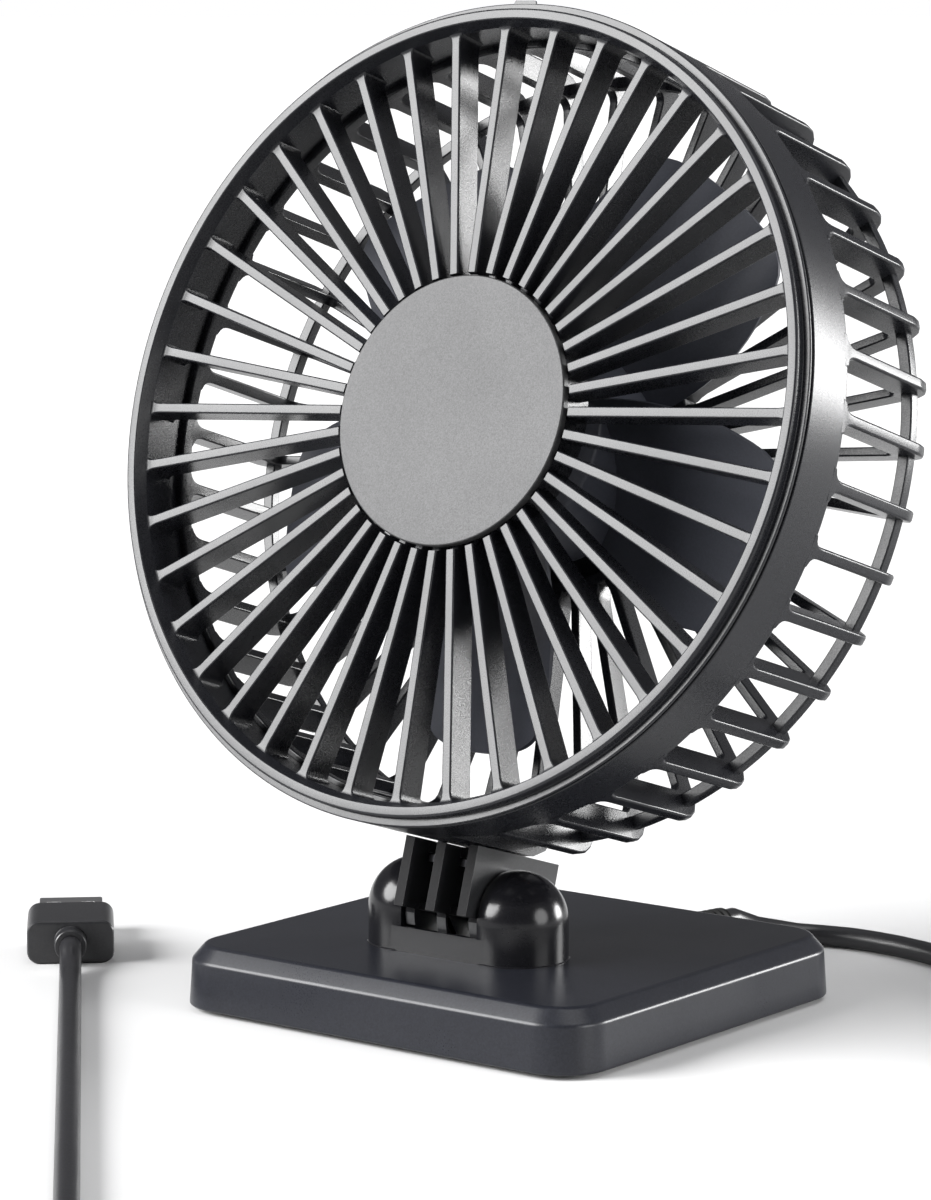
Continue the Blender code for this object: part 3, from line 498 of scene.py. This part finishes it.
def front_rib_stations():
    """A foot in the hub's wall, a shoulder round the disc, the span, and a flare into the rim."""
    back = FRONT_RIB_BACK
    half = FRONT_RIB_HALF
    foot = FRONT_HUB_R - 0.4
    edge = DISC_R + 0.4
    return [
        ((foot, 3.6), (foot, back), half - 0.04),
        ((DISC_R - 0.2, 3.6), (DISC_R - 0.2, back), half - 0.01),
        ((edge + 0.05, 3.5), (edge, back), half),
        ((edge + 0.25, 2.42), (edge + 0.3, back), half),
        ((25, 2.4), (25, back), half),
        ((45, 2.3), (45, back), half),
        ((THROAT_R - 1.6, 2.2), (THROAT_R - 1.6, back), half),
        ((THROAT_R - 0.7, 2.2), (THROAT_R - 0.7, back + 0.2), half + 0.1),
        ((THROAT_R - 0.1, 2.15), (THROAT_R - 0.1, back + 0.6), half + 0.4),
        ((THROAT_R + 0.35, 1.9), (THROAT_R + 0.4, back + 1.3), half + 0.9),
    ]


def front_grille():
    """Rim, skirt, hub and ribs, and the catch on top of the rim."""
    rim = filleted(
        [
            (THROAT_R, SKIRT_REAR, 0.1),
            (THROAT_R, THROAT_FRONT, 0.25),
            (RIM_INNER_R, 0, 0.3),
            (RIM_OUTER_R, 0, 0.45),
            (RIM_OUTER_R, LIP_DEPTH, 0.12),
            (RING_R, LIP_DEPTH, 0.3),
            (RING_R, LIP_REAR, 0.1),
            (SKIRT_R, LIP_REAR, 0.1),
            (SKIRT_R, SKIRT_REAR, 0.15),
        ]
    )
    hub_inner_r = FRONT_HUB_R - FRONT_HUB_WALL
    hub_floor = FRONT_HUB_FRONT + FRONT_HUB_WALL
    hub = filleted(
        [
            (FRONT_HUB_BORE_R, FRONT_HUB_FRONT, 0.2),
            (FRONT_HUB_R, FRONT_HUB_FRONT, 0.3),
            (FRONT_HUB_R, FRONT_HUB_REAR, 0.3),
            (hub_inner_r, FRONT_HUB_REAR, 0.3),
            (hub_inner_r, hub_floor, 0.3),
            (FRONT_HUB_BORE_R, hub_floor, 0.2),
        ]
    )
    stations = front_rib_stations()
    ribs = [lofted_rib(FRONT_PHASE + number * RIB_PITCH, stations, 0.3, 0.25) for number in range(RIBS)]
    shape = joined(turned(rim, 288), turned(hub, 144), *ribs)
    piece("front_grille_moulding", shape, "shell", "head", HEAD, ["front_grille"])
    foot = RING_R - 0.8
    top = RING_R + 0.55
    catch = filleted([(-2.5, foot, 0.1), (2.5, foot, 0.1), (2.1, top, 0.3), (-2.1, top, 0.3)])
    piece("catch_tab", prism(catch, 1.9, 2.3, "Y"), "shell", "head", HEAD)


def centre_disc():
    """A disc, with the boss on its back that plugs it into the grille's hub."""
    back = DISC_BACK + 0.05
    edge = [
        (DISC_R - 1.1, DISC_FRONT, 0),
        (DISC_R, DISC_FRONT, 0.28),
        (DISC_R, DISC_BACK, 0.1),
        (DISC_R - 0.6, back, 0),
    ]
    profile = [(0, DISC_FRONT)] + filleted(edge, 5) + [(BOSS_R, back), (BOSS_R, BOSS_REAR), (0, BOSS_REAR)]
    piece("centre_cap", spun(profile, 160), "disc", "head", HEAD, ["centre_disc"])


def cage_rib_stations():
    """A flare out of the band, the side, the round corner, the rear face, and a flare into the mount."""
    flare = ((12.6, 3.1), (13.4, 2.8), (13.75, 1.95), (14.3, 1.4), (15.0, 1.12))
    side = [(depth, SIDE_RIB_HALF) for depth in (16.0, 22, 29, 34.6)]
    stations = [((RING_R, depth), (CAGE_INNER_R, depth), half) for depth, half in (*flare, *side)]
    stations.append(((RING_R, 36.2), (CAGE_INNER_R, 35.6), SIDE_RIB_HALF))
    corner = arc((RING_R - CAGE_CORNER_R, HEAD_DEPTH - CAGE_CORNER_R), CAGE_CORNER_R, 0, 90, 4)
    corner_inside = ((65, 35.9), (64.9, 36.4), (64.5, 37.0), (64, 37.5), (63.2, REAR_RIB_FRONT))
    for step, (outer, inner) in enumerate(zip(corner, corner_inside)):
        stations.append((outer, inner, mixed((SIDE_RIB_HALF, REAR_RIB_HALF), step / 4)))
    rear = [(radius, REAR_RIB_HALF) for radius in (60, 50, 40, 30, 26.5)]
    rear += [(REAR_HUB_R + 1.3, 0.95), (REAR_HUB_R + 0.4, 1.25)]
    stations += [((radius, HEAD_DEPTH), (radius, REAR_RIB_FRONT), half) for radius, half in rear]
    end = REAR_HUB_R - 0.4
    stations.append(((end, HEAD_DEPTH - 0.1), (end, REAR_RIB_FRONT + 0.1), 1.3))
    return stations


def rear_cage():
    """Band, ribs, rear ring, motor mount and the panel that the neck meets."""
    band = filleted(
        [
            (CAGE_INNER_R, BAND_REAR, 0.5),
            (RING_R, BAND_REAR, 0.45),
            (RING_R, BAND_FRONT, 0.25),
            (BAND_BORE, BAND_FRONT, 0.15),
            (BAND_BORE, BAND_LEDGE, 0.1),
            (CAGE_INNER_R, BAND_LEDGE, 0.3),
        ]
    )
    ring = filleted(
        [
            (REAR_RING_R[0], REAR_RING_DEPTH[0], 0.25),
            (REAR_RING_R[1], REAR_RING_DEPTH[0], 0.3),
            (REAR_RING_R[1], REAR_RING_DEPTH[1], 0.3),
            (REAR_RING_R[0], REAR_RING_DEPTH[1], 0.3),
        ]
    )
    mount_inner_r = REAR_HUB_R - REAR_HUB_WALL
    plate_front = HEAD_DEPTH - MOUNT_PLATE
    mount = filleted(
        [
            (REAR_HUB_R, REAR_RIB_FRONT, 0.4),
            (REAR_HUB_R, HEAD_DEPTH, 0.4),
            (MOUNT_BORE_R, HEAD_DEPTH, 0.2),
            (MOUNT_BORE_R, plate_front, 0.2),
            (mount_inner_r, plate_front, 0.3),
            (mount_inner_r, REAR_RIB_FRONT, 0.3),
        ]
    )
    stations = cage_rib_stations()
    ribs = [lofted_rib(RIB_PITCH * (number + 0.5), stations, 0.45, 0.3) for number in range(RIBS)]
    side_r = RING_R - 0.05
    rear = HEAD_DEPTH - 0.1
    end = CAGE_INNER_R - 1.5
    panel = filleted(
        [
            (CAGE_INNER_R, 11, 0),
            (side_r, 11, 0),
            (side_r, HEAD_DEPTH - CAGE_CORNER_R, 0),
            (68.5, 40.5, 0.8),
            (CAGE_INNER_R, rear, 0),
            (end, rear, 0),
            (end, REAR_RIB_FRONT, 0),
            (CAGE_INNER_R, REAR_RIB_FRONT - 2, 0),
        ]
    )
    pad = turned(panel, 8, start=-(math.pi + PANEL_SWEEP) / 2, sweep=PANEL_SWEEP)
    shape = joined(turned(band, 288), turned(ring, 240), turned(mount, 144), pad, *ribs)
    piece("rear_cage_moulding", shape, "shell", "head", HEAD, ["rear_cage"])


def blade_point(across, outward, face):
    """The (radius, turn, depth) of a point on a blade's front or rear face.

    across and outward run from 0 to 1, from the rear edge to the front one and from root to tip.
    """
    chord = 2 * across - 1
    reach = BLADE_TIP_R - BLADE_TIP_ROUND * chord ** 6 - BLADE_ROOT_R
    radius = BLADE_ROOT_R + reach * outward
    turns = [
        math.radians(mixed(BLADE_LEADING, outward ** 2)),
        math.radians(mixed(BLADE_TRAILING, outward)),
    ]
    depths = [mixed(BLADE_REAR, outward), mixed(BLADE_FRONT, outward)]
    slope = math.atan2(depths[0] - depths[1], (turns[1] - turns[0]) * radius)
    edge_thinning = 1 - 0.55 * chord ** 4
    tip_thinning = 1 - 2.5 * max(0, outward - 0.9)
    half = BLADE_HALF * edge_thinning * tip_thinning * face
    turn = mixed(turns, across) + half * math.sin(slope) / radius
    depth = mixed(depths, across) + BLADE_CAMBER * (1 - chord * chord) + half * math.cos(slope)
    return radius, turn, depth


def blade(start):
    """A blade as strips across both faces, with its root and tip closed strip by strip."""
    columns = 26
    rows = 14
    loops = []
    for row in range(rows + 1):
        loop = [blade_point(n / columns, row / rows, -1) for n in range(columns + 1)]
        loop += [blade_point(n / columns, row / rows, 1) for n in range(columns, -1, -1)]
        loops.append([(r * math.cos(start + turn), y, r * math.sin(start + turn)) for r, turn, y in loop])
    points, faces = stacked(loops)
    faces = faces[:-2]
    count = len(loops[0])
    for low in (0, len(points) - count):
        last = low + count - 1
        faces += [[low + n, low + n + 1, last - 1 - n, last - n] for n in range(columns)]
    return points, faces


def impeller():
    hub = [
        (17.2, HUB_FRONT, 1.5),
        (HUB_R, 17.4, 1.2),
        (HUB_R, HUB_REAR, 0.3),
        (HUB_BORE_R, HUB_REAR, 0.2),
        (HUB_BORE_R, HUB_FLOOR, 0.2),
    ]
    profile = [(0, HUB_FRONT)] + filleted(hub, 5) + [(0, HUB_FLOOR)]
    blades = [blade(number * 2 * math.pi / BLADES) for number in range(BLADES)]
    shape = joined(spun(profile, 96), *blades)
    piece("impeller_moulding", shape, "blade", "impeller", HEAD, ["impeller"])


def neck():
    """Block under the head, with open cavities in front and three knuckles on the bolt."""
    step = -1.1
    rear_foot = (NECK_REAR, 6.8)
    tangent = math.atan2(rear_foot[1], rear_foot[0]) - math.acos(KNUCKLE_R / math.hypot(*rear_foot))
    start = 180 - math.degrees(math.asin(step / KNUCKLE_R))
    outline = [(NECK_FRONT, NECK_TOP), (NECK_FRONT, step)]
    outline += arc((0, 0), KNUCKLE_R, start, 360 + math.degrees(tangent), 24)
    outline += [rear_foot, (NECK_REAR, NECK_TOP)]
    block = prism(outline, -NECK_HALF, NECK_HALF, "X")
    made = piece("neck_moulding", block, "knuckle", None, PIVOT_FRAME)
    cut(made, rod(RING_R + 0.3, -50, 50, 288), HEAD @ Matrix.Translation((0, FRONT_SETBACK, 0)))
    plate = NECK_WALL / 2
    wall = NECK_HALF - NECK_WALL
    for low, high in ((-wall, -plate), (plate, wall)):
        cut(made, box((low, -12, 0.3), (high, 10.6, 8.7)), PIVOT_FRAME)
        cut(made, box((low, -9, -9), (high, 9.5, step)), PIVOT_FRAME)
        cut(made, box((low, -12, -9), (high, -6.2, 11.2)), PIVOT_FRAME)
    cut(made, rod(BOLT_HOLE_R, -9, 9, 32, "X"), PIVOT_FRAME)
    bevelled(made, 0.22, 2, 40)
    # painted shade: a darker copy of the neck's finish on its forward faces
    paint_shade_on_front(made)
    attach(made, "head", ["neck"])


def paint_shade_on_front(made):
    """Gives the neck's faces that look forward a darker, duller copy of the neck's finish: painted shade
    that keeps them dark under the key light.
    """
    made.data.materials.append(FINISHES["knuckle_painted_shade"])
    forward = (PIVOT_FRAME.to_3x3() @ Vector((0, -1, 0))).normalized()
    nearly = 0.97
    for face in made.data.polygons:
        if face.normal.dot(forward) > nearly:
            face.material_index = 1


# Base -----------------------------------------------------------------------------------------

BASE_X = 86.4
BASE_Y = 80.0
BASE_BOTTOM = 0.8
BASE_TOP = 11.5
GLAND_X = 8.0
BUTTON_X = -20.0
REAR_Z = 6.2                                 # of the gland and the button in the rear wall
GLAND_HOLE_R = 3.2
BUTTON_HOLE_R = 2.8
EAR_X = 10.8
EAR_R = 8.5
EAR_FACE_X = 8.1
WALL_TOP = 15.8


def base_loop(inset, height, radius):
    outline = rounded_rectangle(BASE_X - 2 * inset, BASE_Y - 2 * inset, radius, 16)
    return [(x, y, height) for x, y in outline]


def base():
    """A hollow block with a chamfered top, cut for the knuckles, the lead and the button."""
    outside = [                              # inset, height and corner radius of each level
        (2.0, BASE_BOTTOM, 7.0),
        (0.55, BASE_BOTTOM, 8.4),
        (0.25, 0.88, 8.6),
        (0.08, 1.08, 8.8),
        (0.02, 1.4, 9.0),
        (0.36, 8.5, 9.0),
        (0.40, 8.78, 8.95),
        (0.50, 8.98, 8.85),
        (0.66, 9.2, 8.7),
        (2.25, 11.08, 7.3),
        (2.5, 11.3, 7.1),
        (2.85, 11.45, 6.8),
        (3.3, BASE_TOP, 6.4),
        (12, BASE_TOP, 4),
    ]
    inside = [(4.0, 9.5, 5.5), (2.5, 8.0, 6.6)]
    loops = [base_loop(*level) for level in outside]
    count = len(loops[0])
    points, faces = stacked(loops)
    rim = list(range(count))
    faces.remove(rim)
    rows = []
    for level in inside:
        rows.append(list(range(len(points), len(points) + count)))
        points += base_loop(*level)
    rows.append(rim)
    for here, after in zip(rows, rows[1:]):
        for n in range(count):
            beyond = (n + 1) % count
            faces.append([here[n], here[beyond], after[beyond], after[n]])
    ceiling = rows[0]
    faces.append(ceiling)
    made = piece("base_housing", (points, faces), "base", None)
    cut(made, box((-8, -19.3, 5), (8, -4.3, 12)))
    for x, radius in ((GLAND_X, GLAND_HOLE_R), (BUTTON_X, BUTTON_HOLE_R)):
        cut(made, rod(radius, 36, 42, 48), Matrix.Translation((x, 0, REAR_Z)))
    made.data.shade_smooth()
    made.data.set_sharp_from_angle(angle=math.radians(40))
    flat_faces_stay_flat(made)
    attach(made, "base", ["base_shell"])


def pedestal():
    """Two domed ears with a low wall in front of the knuckles."""
    _, y, z = PIVOT
    bottom = BASE_TOP - 0.05
    foot_r = EAR_R + 0.25
    profile = [(0, bottom), (foot_r, bottom), (foot_r, bottom + 0.12), (EAR_R + 0.02, bottom + 0.3)]
    profile += arc((0, z), EAR_R, 0, 85, 17) + [(0, z + EAR_R)]
    ears = []
    for side in (-1, 1):
        ear = piece("ear", spun(profile, 96, "Z"), "ear", None, Matrix.Translation((side * EAR_X, y, 0)))
        low, high = sorted((-side * 20, side * EAR_FACE_X))
        cut(ear, box((low, y - 10, 5), (high, y + 10, 40)))
        ears.append(ear)
    made, other = ears
    combined(made, other, "UNION")
    wall = box((-EAR_X, y - 8.45, bottom), (EAR_X, y - 7.6, WALL_TOP))
    combined(made, piece("wall", wall, "ear", None), "UNION")
    made.name = "pedestal_moulding"
    bevelled(made, 0.15, 2, 45)
    attach(made, "base", ["pedestal"])


# USB lead -------------------------------------------------------------------------------------

LEAD_R = 1.95
LEAD_Z = LEAD_R + 0.02                       # lying on the table
ROUTE_SPACING = 6
COIL_CENTRE = Vector((89.9, -167.7, 0))
COIL_R = 23.4                                # to the middle of its turns
COIL_BOTTOM = 0.8
COIL_LAYER = 3.4                             # the upper turns above the lower ones
PLUG_TURN = math.radians(42.9)
PLUG_PLACE = Vector((-80.0, -25.0, 3.9))
PLUG = Matrix.Translation(PLUG_PLACE) @ Matrix.Rotation(PLUG_TURN, 4, "Z")

BOOT_END = 53.0
BOOT_RIBS = 6
BOOT_RIB_PITCH = 1.75
CAN_REAR = 17.1
CAN_FRONT = 28.8
CAN_WIDTH = 12.0
CAN_HEIGHT = 4.5
LATCH_X = 3.1                                # of the two windows, and of the spring leaf in each


def smooth_route(points, spacing):
    """Points along a smooth curve through the given ones, its ends carried straight on."""
    path = [Vector(point) for point in points]
    path = [2 * path[0] - path[1]] + path + [2 * path[-1] - path[-2]]
    made = []
    for before, start, end, after in zip(path, path[1:], path[2:], path[3:]):
        steps = max(1, round((end - start).length / spacing))
        for step in range(steps):
            t = step / steps
            curve = 2 * start + (end - before) * t
            curve += (2 * before - 5 * start + 4 * end - after) * t * t
            curve += (3 * start - before - 3 * end + after) * t * t * t
            made.append(curve / 2)
    return made + [path[-2]]


def eased(value):
    """From 0 to 1, with a soft start and end."""
    value = min(max(value, 0.0), 1.0)
    return value * value * (3 - 2 * value)


def coil_turns():
    """The wound part, clockwise from where the lead climbs on to where it leaves for the plug.

    The lead comes in beside the coil and makes an outer and an inner turn on top. It drops to the
    innermost turn below and steps outward by its own thickness with each of the two turns after.
    Each of these moves takes the same angle, from the one given in degrees.
    """
    made = []
    ends = (-26.0, -1577.1)
    move = 50
    steps = 118
    for step in range(steps + 1):
        angle = mixed(ends, step / steps)
        beside = 1 - eased((ends[0] - angle) / move)
        inward = eased((-250 - angle) / move)
        drop = eased((-610 - angle) / move)
        outward = eased((-970 - angle) / move) + eased((-1330 - angle) / move)
        radius = COIL_R + LEAD_R * (1 - 2 * inward - drop + 2 * outward) + 2.6 * beside
        height = COIL_BOTTOM + LEAD_R + COIL_LAYER * (1 - drop) - 0.9 * beside
        turn = math.radians(angle)
        made.append(COIL_CENTRE + Vector((radius * math.cos(turn), radius * math.sin(turn), height)))
    return made


def lead_route():
    """From the boot over the table to the coil, round its turns and on to the plug."""
    out = [
        (GLAND_X, 53.3, REAR_Z),
        (GLAND_X, 56.5, 6.1),
        (9.4, 62, 3.8),
        (14.5, 68, LEAD_Z + 0.2),
        (24, 71.5, LEAD_Z),
        (40, 70, LEAD_Z),
        (58, 62, LEAD_Z),
        (78, 40, LEAD_Z),
        (108, -6, LEAD_Z),
        (134, -48, LEAD_Z),
        (145, -86, LEAD_Z),
        (143, -118, LEAD_Z),
        (134, -146, LEAD_Z + 0.3),
        (125, -165, LEAD_Z + 2.0),
    ]
    forward = Vector((-math.sin(PLUG_TURN), math.cos(PLUG_TURN), 0))
    right = Vector((forward.y, -forward.x, 0))
    plug_end = PLUG_PLACE - forward * 3.2
    droop = plug_end - forward * 5 - Vector((0, 0, 0.5))
    landing = plug_end - forward * 16
    landing.z = LEAD_Z
    off_coil = COIL_CENTRE - right * (COIL_R + 2 * LEAD_R) + forward * 30
    off_coil.z = LEAD_Z
    back = [off_coil, (landing + off_coil) / 2, landing, droop, plug_end]
    wound = coil_turns()
    route = smooth_route(out + wound[1:2], ROUTE_SPACING)[:-1] + wound[1:]
    route += smooth_route([wound[-1]] + back, ROUTE_SPACING)[1:]
    return [Vector((point.x, point.y, max(point.z, LEAD_Z))) for point in route]


def lead():
    route = lead_route()
    data = bpy.data.curves.new("usb_lead", "CURVE")
    data.dimensions = "3D"
    data.bevel_depth = LEAD_R * MM
    data.bevel_resolution = 5
    data.use_fill_caps = True
    spline = data.splines.new("POLY")
    spline.points.add(len(route) - 1)
    for point, place in zip(spline.points, route):
        point.co = (*(place * MM), 1)
    spline.use_smooth = True
    data.materials.append(FINISHES["cord"])
    made = bpy.data.objects.new("usb_lead", data)
    bpy.context.scene.collection.objects.link(made)
    attach(made, "base", ["lead_to_coil", "lead_coil", "lead_to_plug"])
    return made


def strain_relief():
    """Flanged boot with ribs along its taper."""
    profile = [(0, 34.8), (2.9, 34.8), (2.9, 40.25), (3.4, 40.3), (3.4, 41.6), (3.1, 42.0)]
    for number in range(BOOT_RIBS):
        start = 42.4 + number * BOOT_RIB_PITCH
        outer = mixed((3.1, 2.55), number / (BOOT_RIBS - 1))
        groove = outer - 0.35
        profile += [(outer, start), (outer, start + 0.95), (groove, start + 1.15), (groove, start + 1.6)]
    profile += [(2.45, BOOT_END), (0, BOOT_END)]
    place = Matrix.Translation((GLAND_X, 0, REAR_Z))
    return piece("lead_boot", spun(profile, 48), "rubber", "base", place, ["strain_relief"])


def plug_loop(width, height, radius, along):
    return [(x, along, z) for x, z in rounded_rectangle(width, height, radius, 8)]


def plug_body():
    """Round collar that widens into the flat grip."""
    collar = [(5.4, -2.9), (5.7, -2.75), (5.8, -2.5), (5.8, -0.2), (6.1, 0.05)]
    loops = [plug_loop(size, size, size * 0.499, along) for size, along in collar]
    grip = [                                 # width, height, corner radius and place along the plug
        (14.6, 6.8, 1.6, 0.05),
        (15.2, 7.4, 2.0, 0.15),
        (15.6, 7.8, 2.2, 0.5),
        (15.65, 7.8, 2.2, 8),
        (15.6, 7.8, 2.2, 16.5),
        (15.3, 7.5, 2.0, 16.85),
        (14.8, 7.0, 1.7, 17.0),
    ]
    loops += [plug_loop(*entry) for entry in grip]
    return piece("plug_body", stacked(loops), "grip", "base", PLUG, ["plug_grip"], sharp=25)


def plug_can():
    """Steel tube with two latch windows through both its wide walls and a notch in the upper one."""
    lead_in = CAN_FRONT - 0.15
    walls = [
        plug_loop(CAN_WIDTH, CAN_HEIGHT, 0.6, CAN_REAR),
        plug_loop(CAN_WIDTH, CAN_HEIGHT, 0.6, lead_in),
        plug_loop(CAN_WIDTH - 0.2, CAN_HEIGHT - 0.2, 0.5, CAN_FRONT),
        plug_loop(CAN_WIDTH - 0.6, CAN_HEIGHT - 0.6, 0.35, CAN_FRONT),
        plug_loop(CAN_WIDTH - 0.7, CAN_HEIGHT - 0.7, 0.3, lead_in),
        plug_loop(CAN_WIDTH - 0.7, CAN_HEIGHT - 0.7, 0.3, CAN_REAR),
    ]
    made = piece("plug_can", stacked(walls, closed=True), "chrome", None, PLUG)
    for side in (-1, 1):
        cut(made, box((side * LATCH_X - 1.15, 22.4, -3), (side * LATCH_X + 1.15, 24.8, 3)), PLUG)
    cut(made, box((-0.75, 18.9, 1.5), (0.75, 19.7, 3)), PLUG)
    bevelled(made, 0.06, 1, 50)
    attach(made, "base", ["plug_shell"])
    return made


def plug_springs():
    """A spring leaf under each window of the upper wall."""
    leaf = [(22.0, 1.55), (25.2, 1.35), (25.2, 1.15), (22.0, 1.3)]
    springs = [prism(leaf, side * LATCH_X - 0.5, side * LATCH_X + 0.5, "X") for side in (-1, 1)]
    return piece("plug_springs", joined(*springs), "gold", "base", PLUG, ())


def plug_contacts():
    """Four flat contacts along the tongue, the outer two longer."""
    contacts = []
    for x, length in ((-3.5, 7.4), (-1.0, 6.4), (1.0, 6.4), (3.5, 7.4)):
        contacts.append(box((x - 0.5, 27.6 - length, -0.26), (x + 0.5, 27.4, -0.06)))
    return piece("plug_contacts", joined(*contacts), "gold", "base", PLUG, ())


def plug():
    return [plug_body(), plug_can(), plug_springs(), plug_contacts(), nodes["plug_tongue"]]


# Floor, lights and world ----------------------------------------------------------------------

FLOOR_RADII = (0.001, 1, 4, 15, 60, 200)     # in metres
FLOOR_SEGMENTS = 96
FLOOR_GREY = 0.7
SKY = ((0.0, 1.0), (0.012, 1.0), (0.04, 0.16), (0.35, 0.13), (1.0, 0.4))


def floor():
    """A wide flat floor that runs to the horizon."""
    points, faces = [], []
    for radius in FLOOR_RADII:
        for n in range(FLOOR_SEGMENTS):
            angle = 2 * math.pi * n / FLOOR_SEGMENTS
            points.append((radius * math.cos(angle), radius * math.sin(angle), 0))
    for level in range(len(FLOOR_RADII) - 1):
        low = level * FLOOR_SEGMENTS
        high = low + FLOOR_SEGMENTS
        for n in range(FLOOR_SEGMENTS):
            after = (n + 1) % FLOOR_SEGMENTS
            faces.append([low + n, low + after, high + after, high + n])
    mesh = bpy.data.meshes.new("floor")
    mesh.from_pydata(points, [], faces)
    made = bpy.data.objects.new("floor", mesh)
    pale = bpy.data.materials.new("pale_floor")
    pale.use_nodes = True
    shader = pale.node_tree.nodes["Principled BSDF"]
    shader.inputs["Base Color"].default_value = (FLOOR_GREY, FLOOR_GREY, FLOOR_GREY, 1)
    shader.inputs["Roughness"].default_value = 0.9
    shader.inputs["Specular IOR Level"].default_value = 0.0
    mesh.materials.append(pale)
    bpy.context.scene.collection.objects.link(made)


def far_softbox(name, azimuth, elevation, spread, strength):
    """A distant round soft box, in degrees from -Y towards +X, above the floor and across itself."""
    a = math.radians(azimuth)
    e = math.radians(elevation)
    away = Vector((math.sin(a) * math.cos(e), -math.cos(a) * math.cos(e), math.sin(e)))
    data = bpy.data.lights.new(name, "SUN")
    data.angle = math.radians(spread)
    data.energy = strength
    made = bpy.data.objects.new(name, data)
    made.rotation_euler = away.to_track_quat("Z", "Y").to_euler()
    bpy.context.scene.collection.objects.link(made)


def sky():
    """A grey sky over a white band at the horizon, from stops of (height, brightness)."""
    world = bpy.data.worlds.new("studio")
    bpy.context.scene.world = world
    world.use_nodes = True
    tree = world.node_tree
    where = node_in(tree, "ShaderNodeTexCoord")
    split = node_in(tree, "ShaderNodeSeparateXYZ")
    tree.links.new(where.outputs["Generated"], split.inputs["Vector"])
    ramp = node_in(tree, "ShaderNodeValToRGB")
    elements = ramp.color_ramp.elements
    while len(elements) < len(SKY):
        elements.new(0.5)
    for element, (height, shade) in zip(elements, SKY):
        element.position = height
        element.color = (shade, shade, shade * 1.03, 1)
    tree.links.new(split.outputs["Z"], ramp.inputs["Fac"])
    tree.links.new(ramp.outputs["Color"], tree.nodes["Background"].inputs["Color"])
    bpy.context.scene.view_settings.view_transform = "Standard"


def lights():
    far_softbox("key", -40, 28, 38, 6.6)
    far_softbox("rim", 146, 7, 22, 3.6)
    far_softbox("side", 93, 14, 32, 1.7)
    far_softbox("top", 100, 74, 40, 0.8)
    sky()


# Build ----------------------------------------------------------------------------------------

usb_lead = lead()
boot = strain_relief()
on_lead = [boot, nodes["lead_tie"], *plug()]
front_grille()
centre_disc()
rear_cage()
impeller()
neck()
base()
pedestal()
floor()
lights()
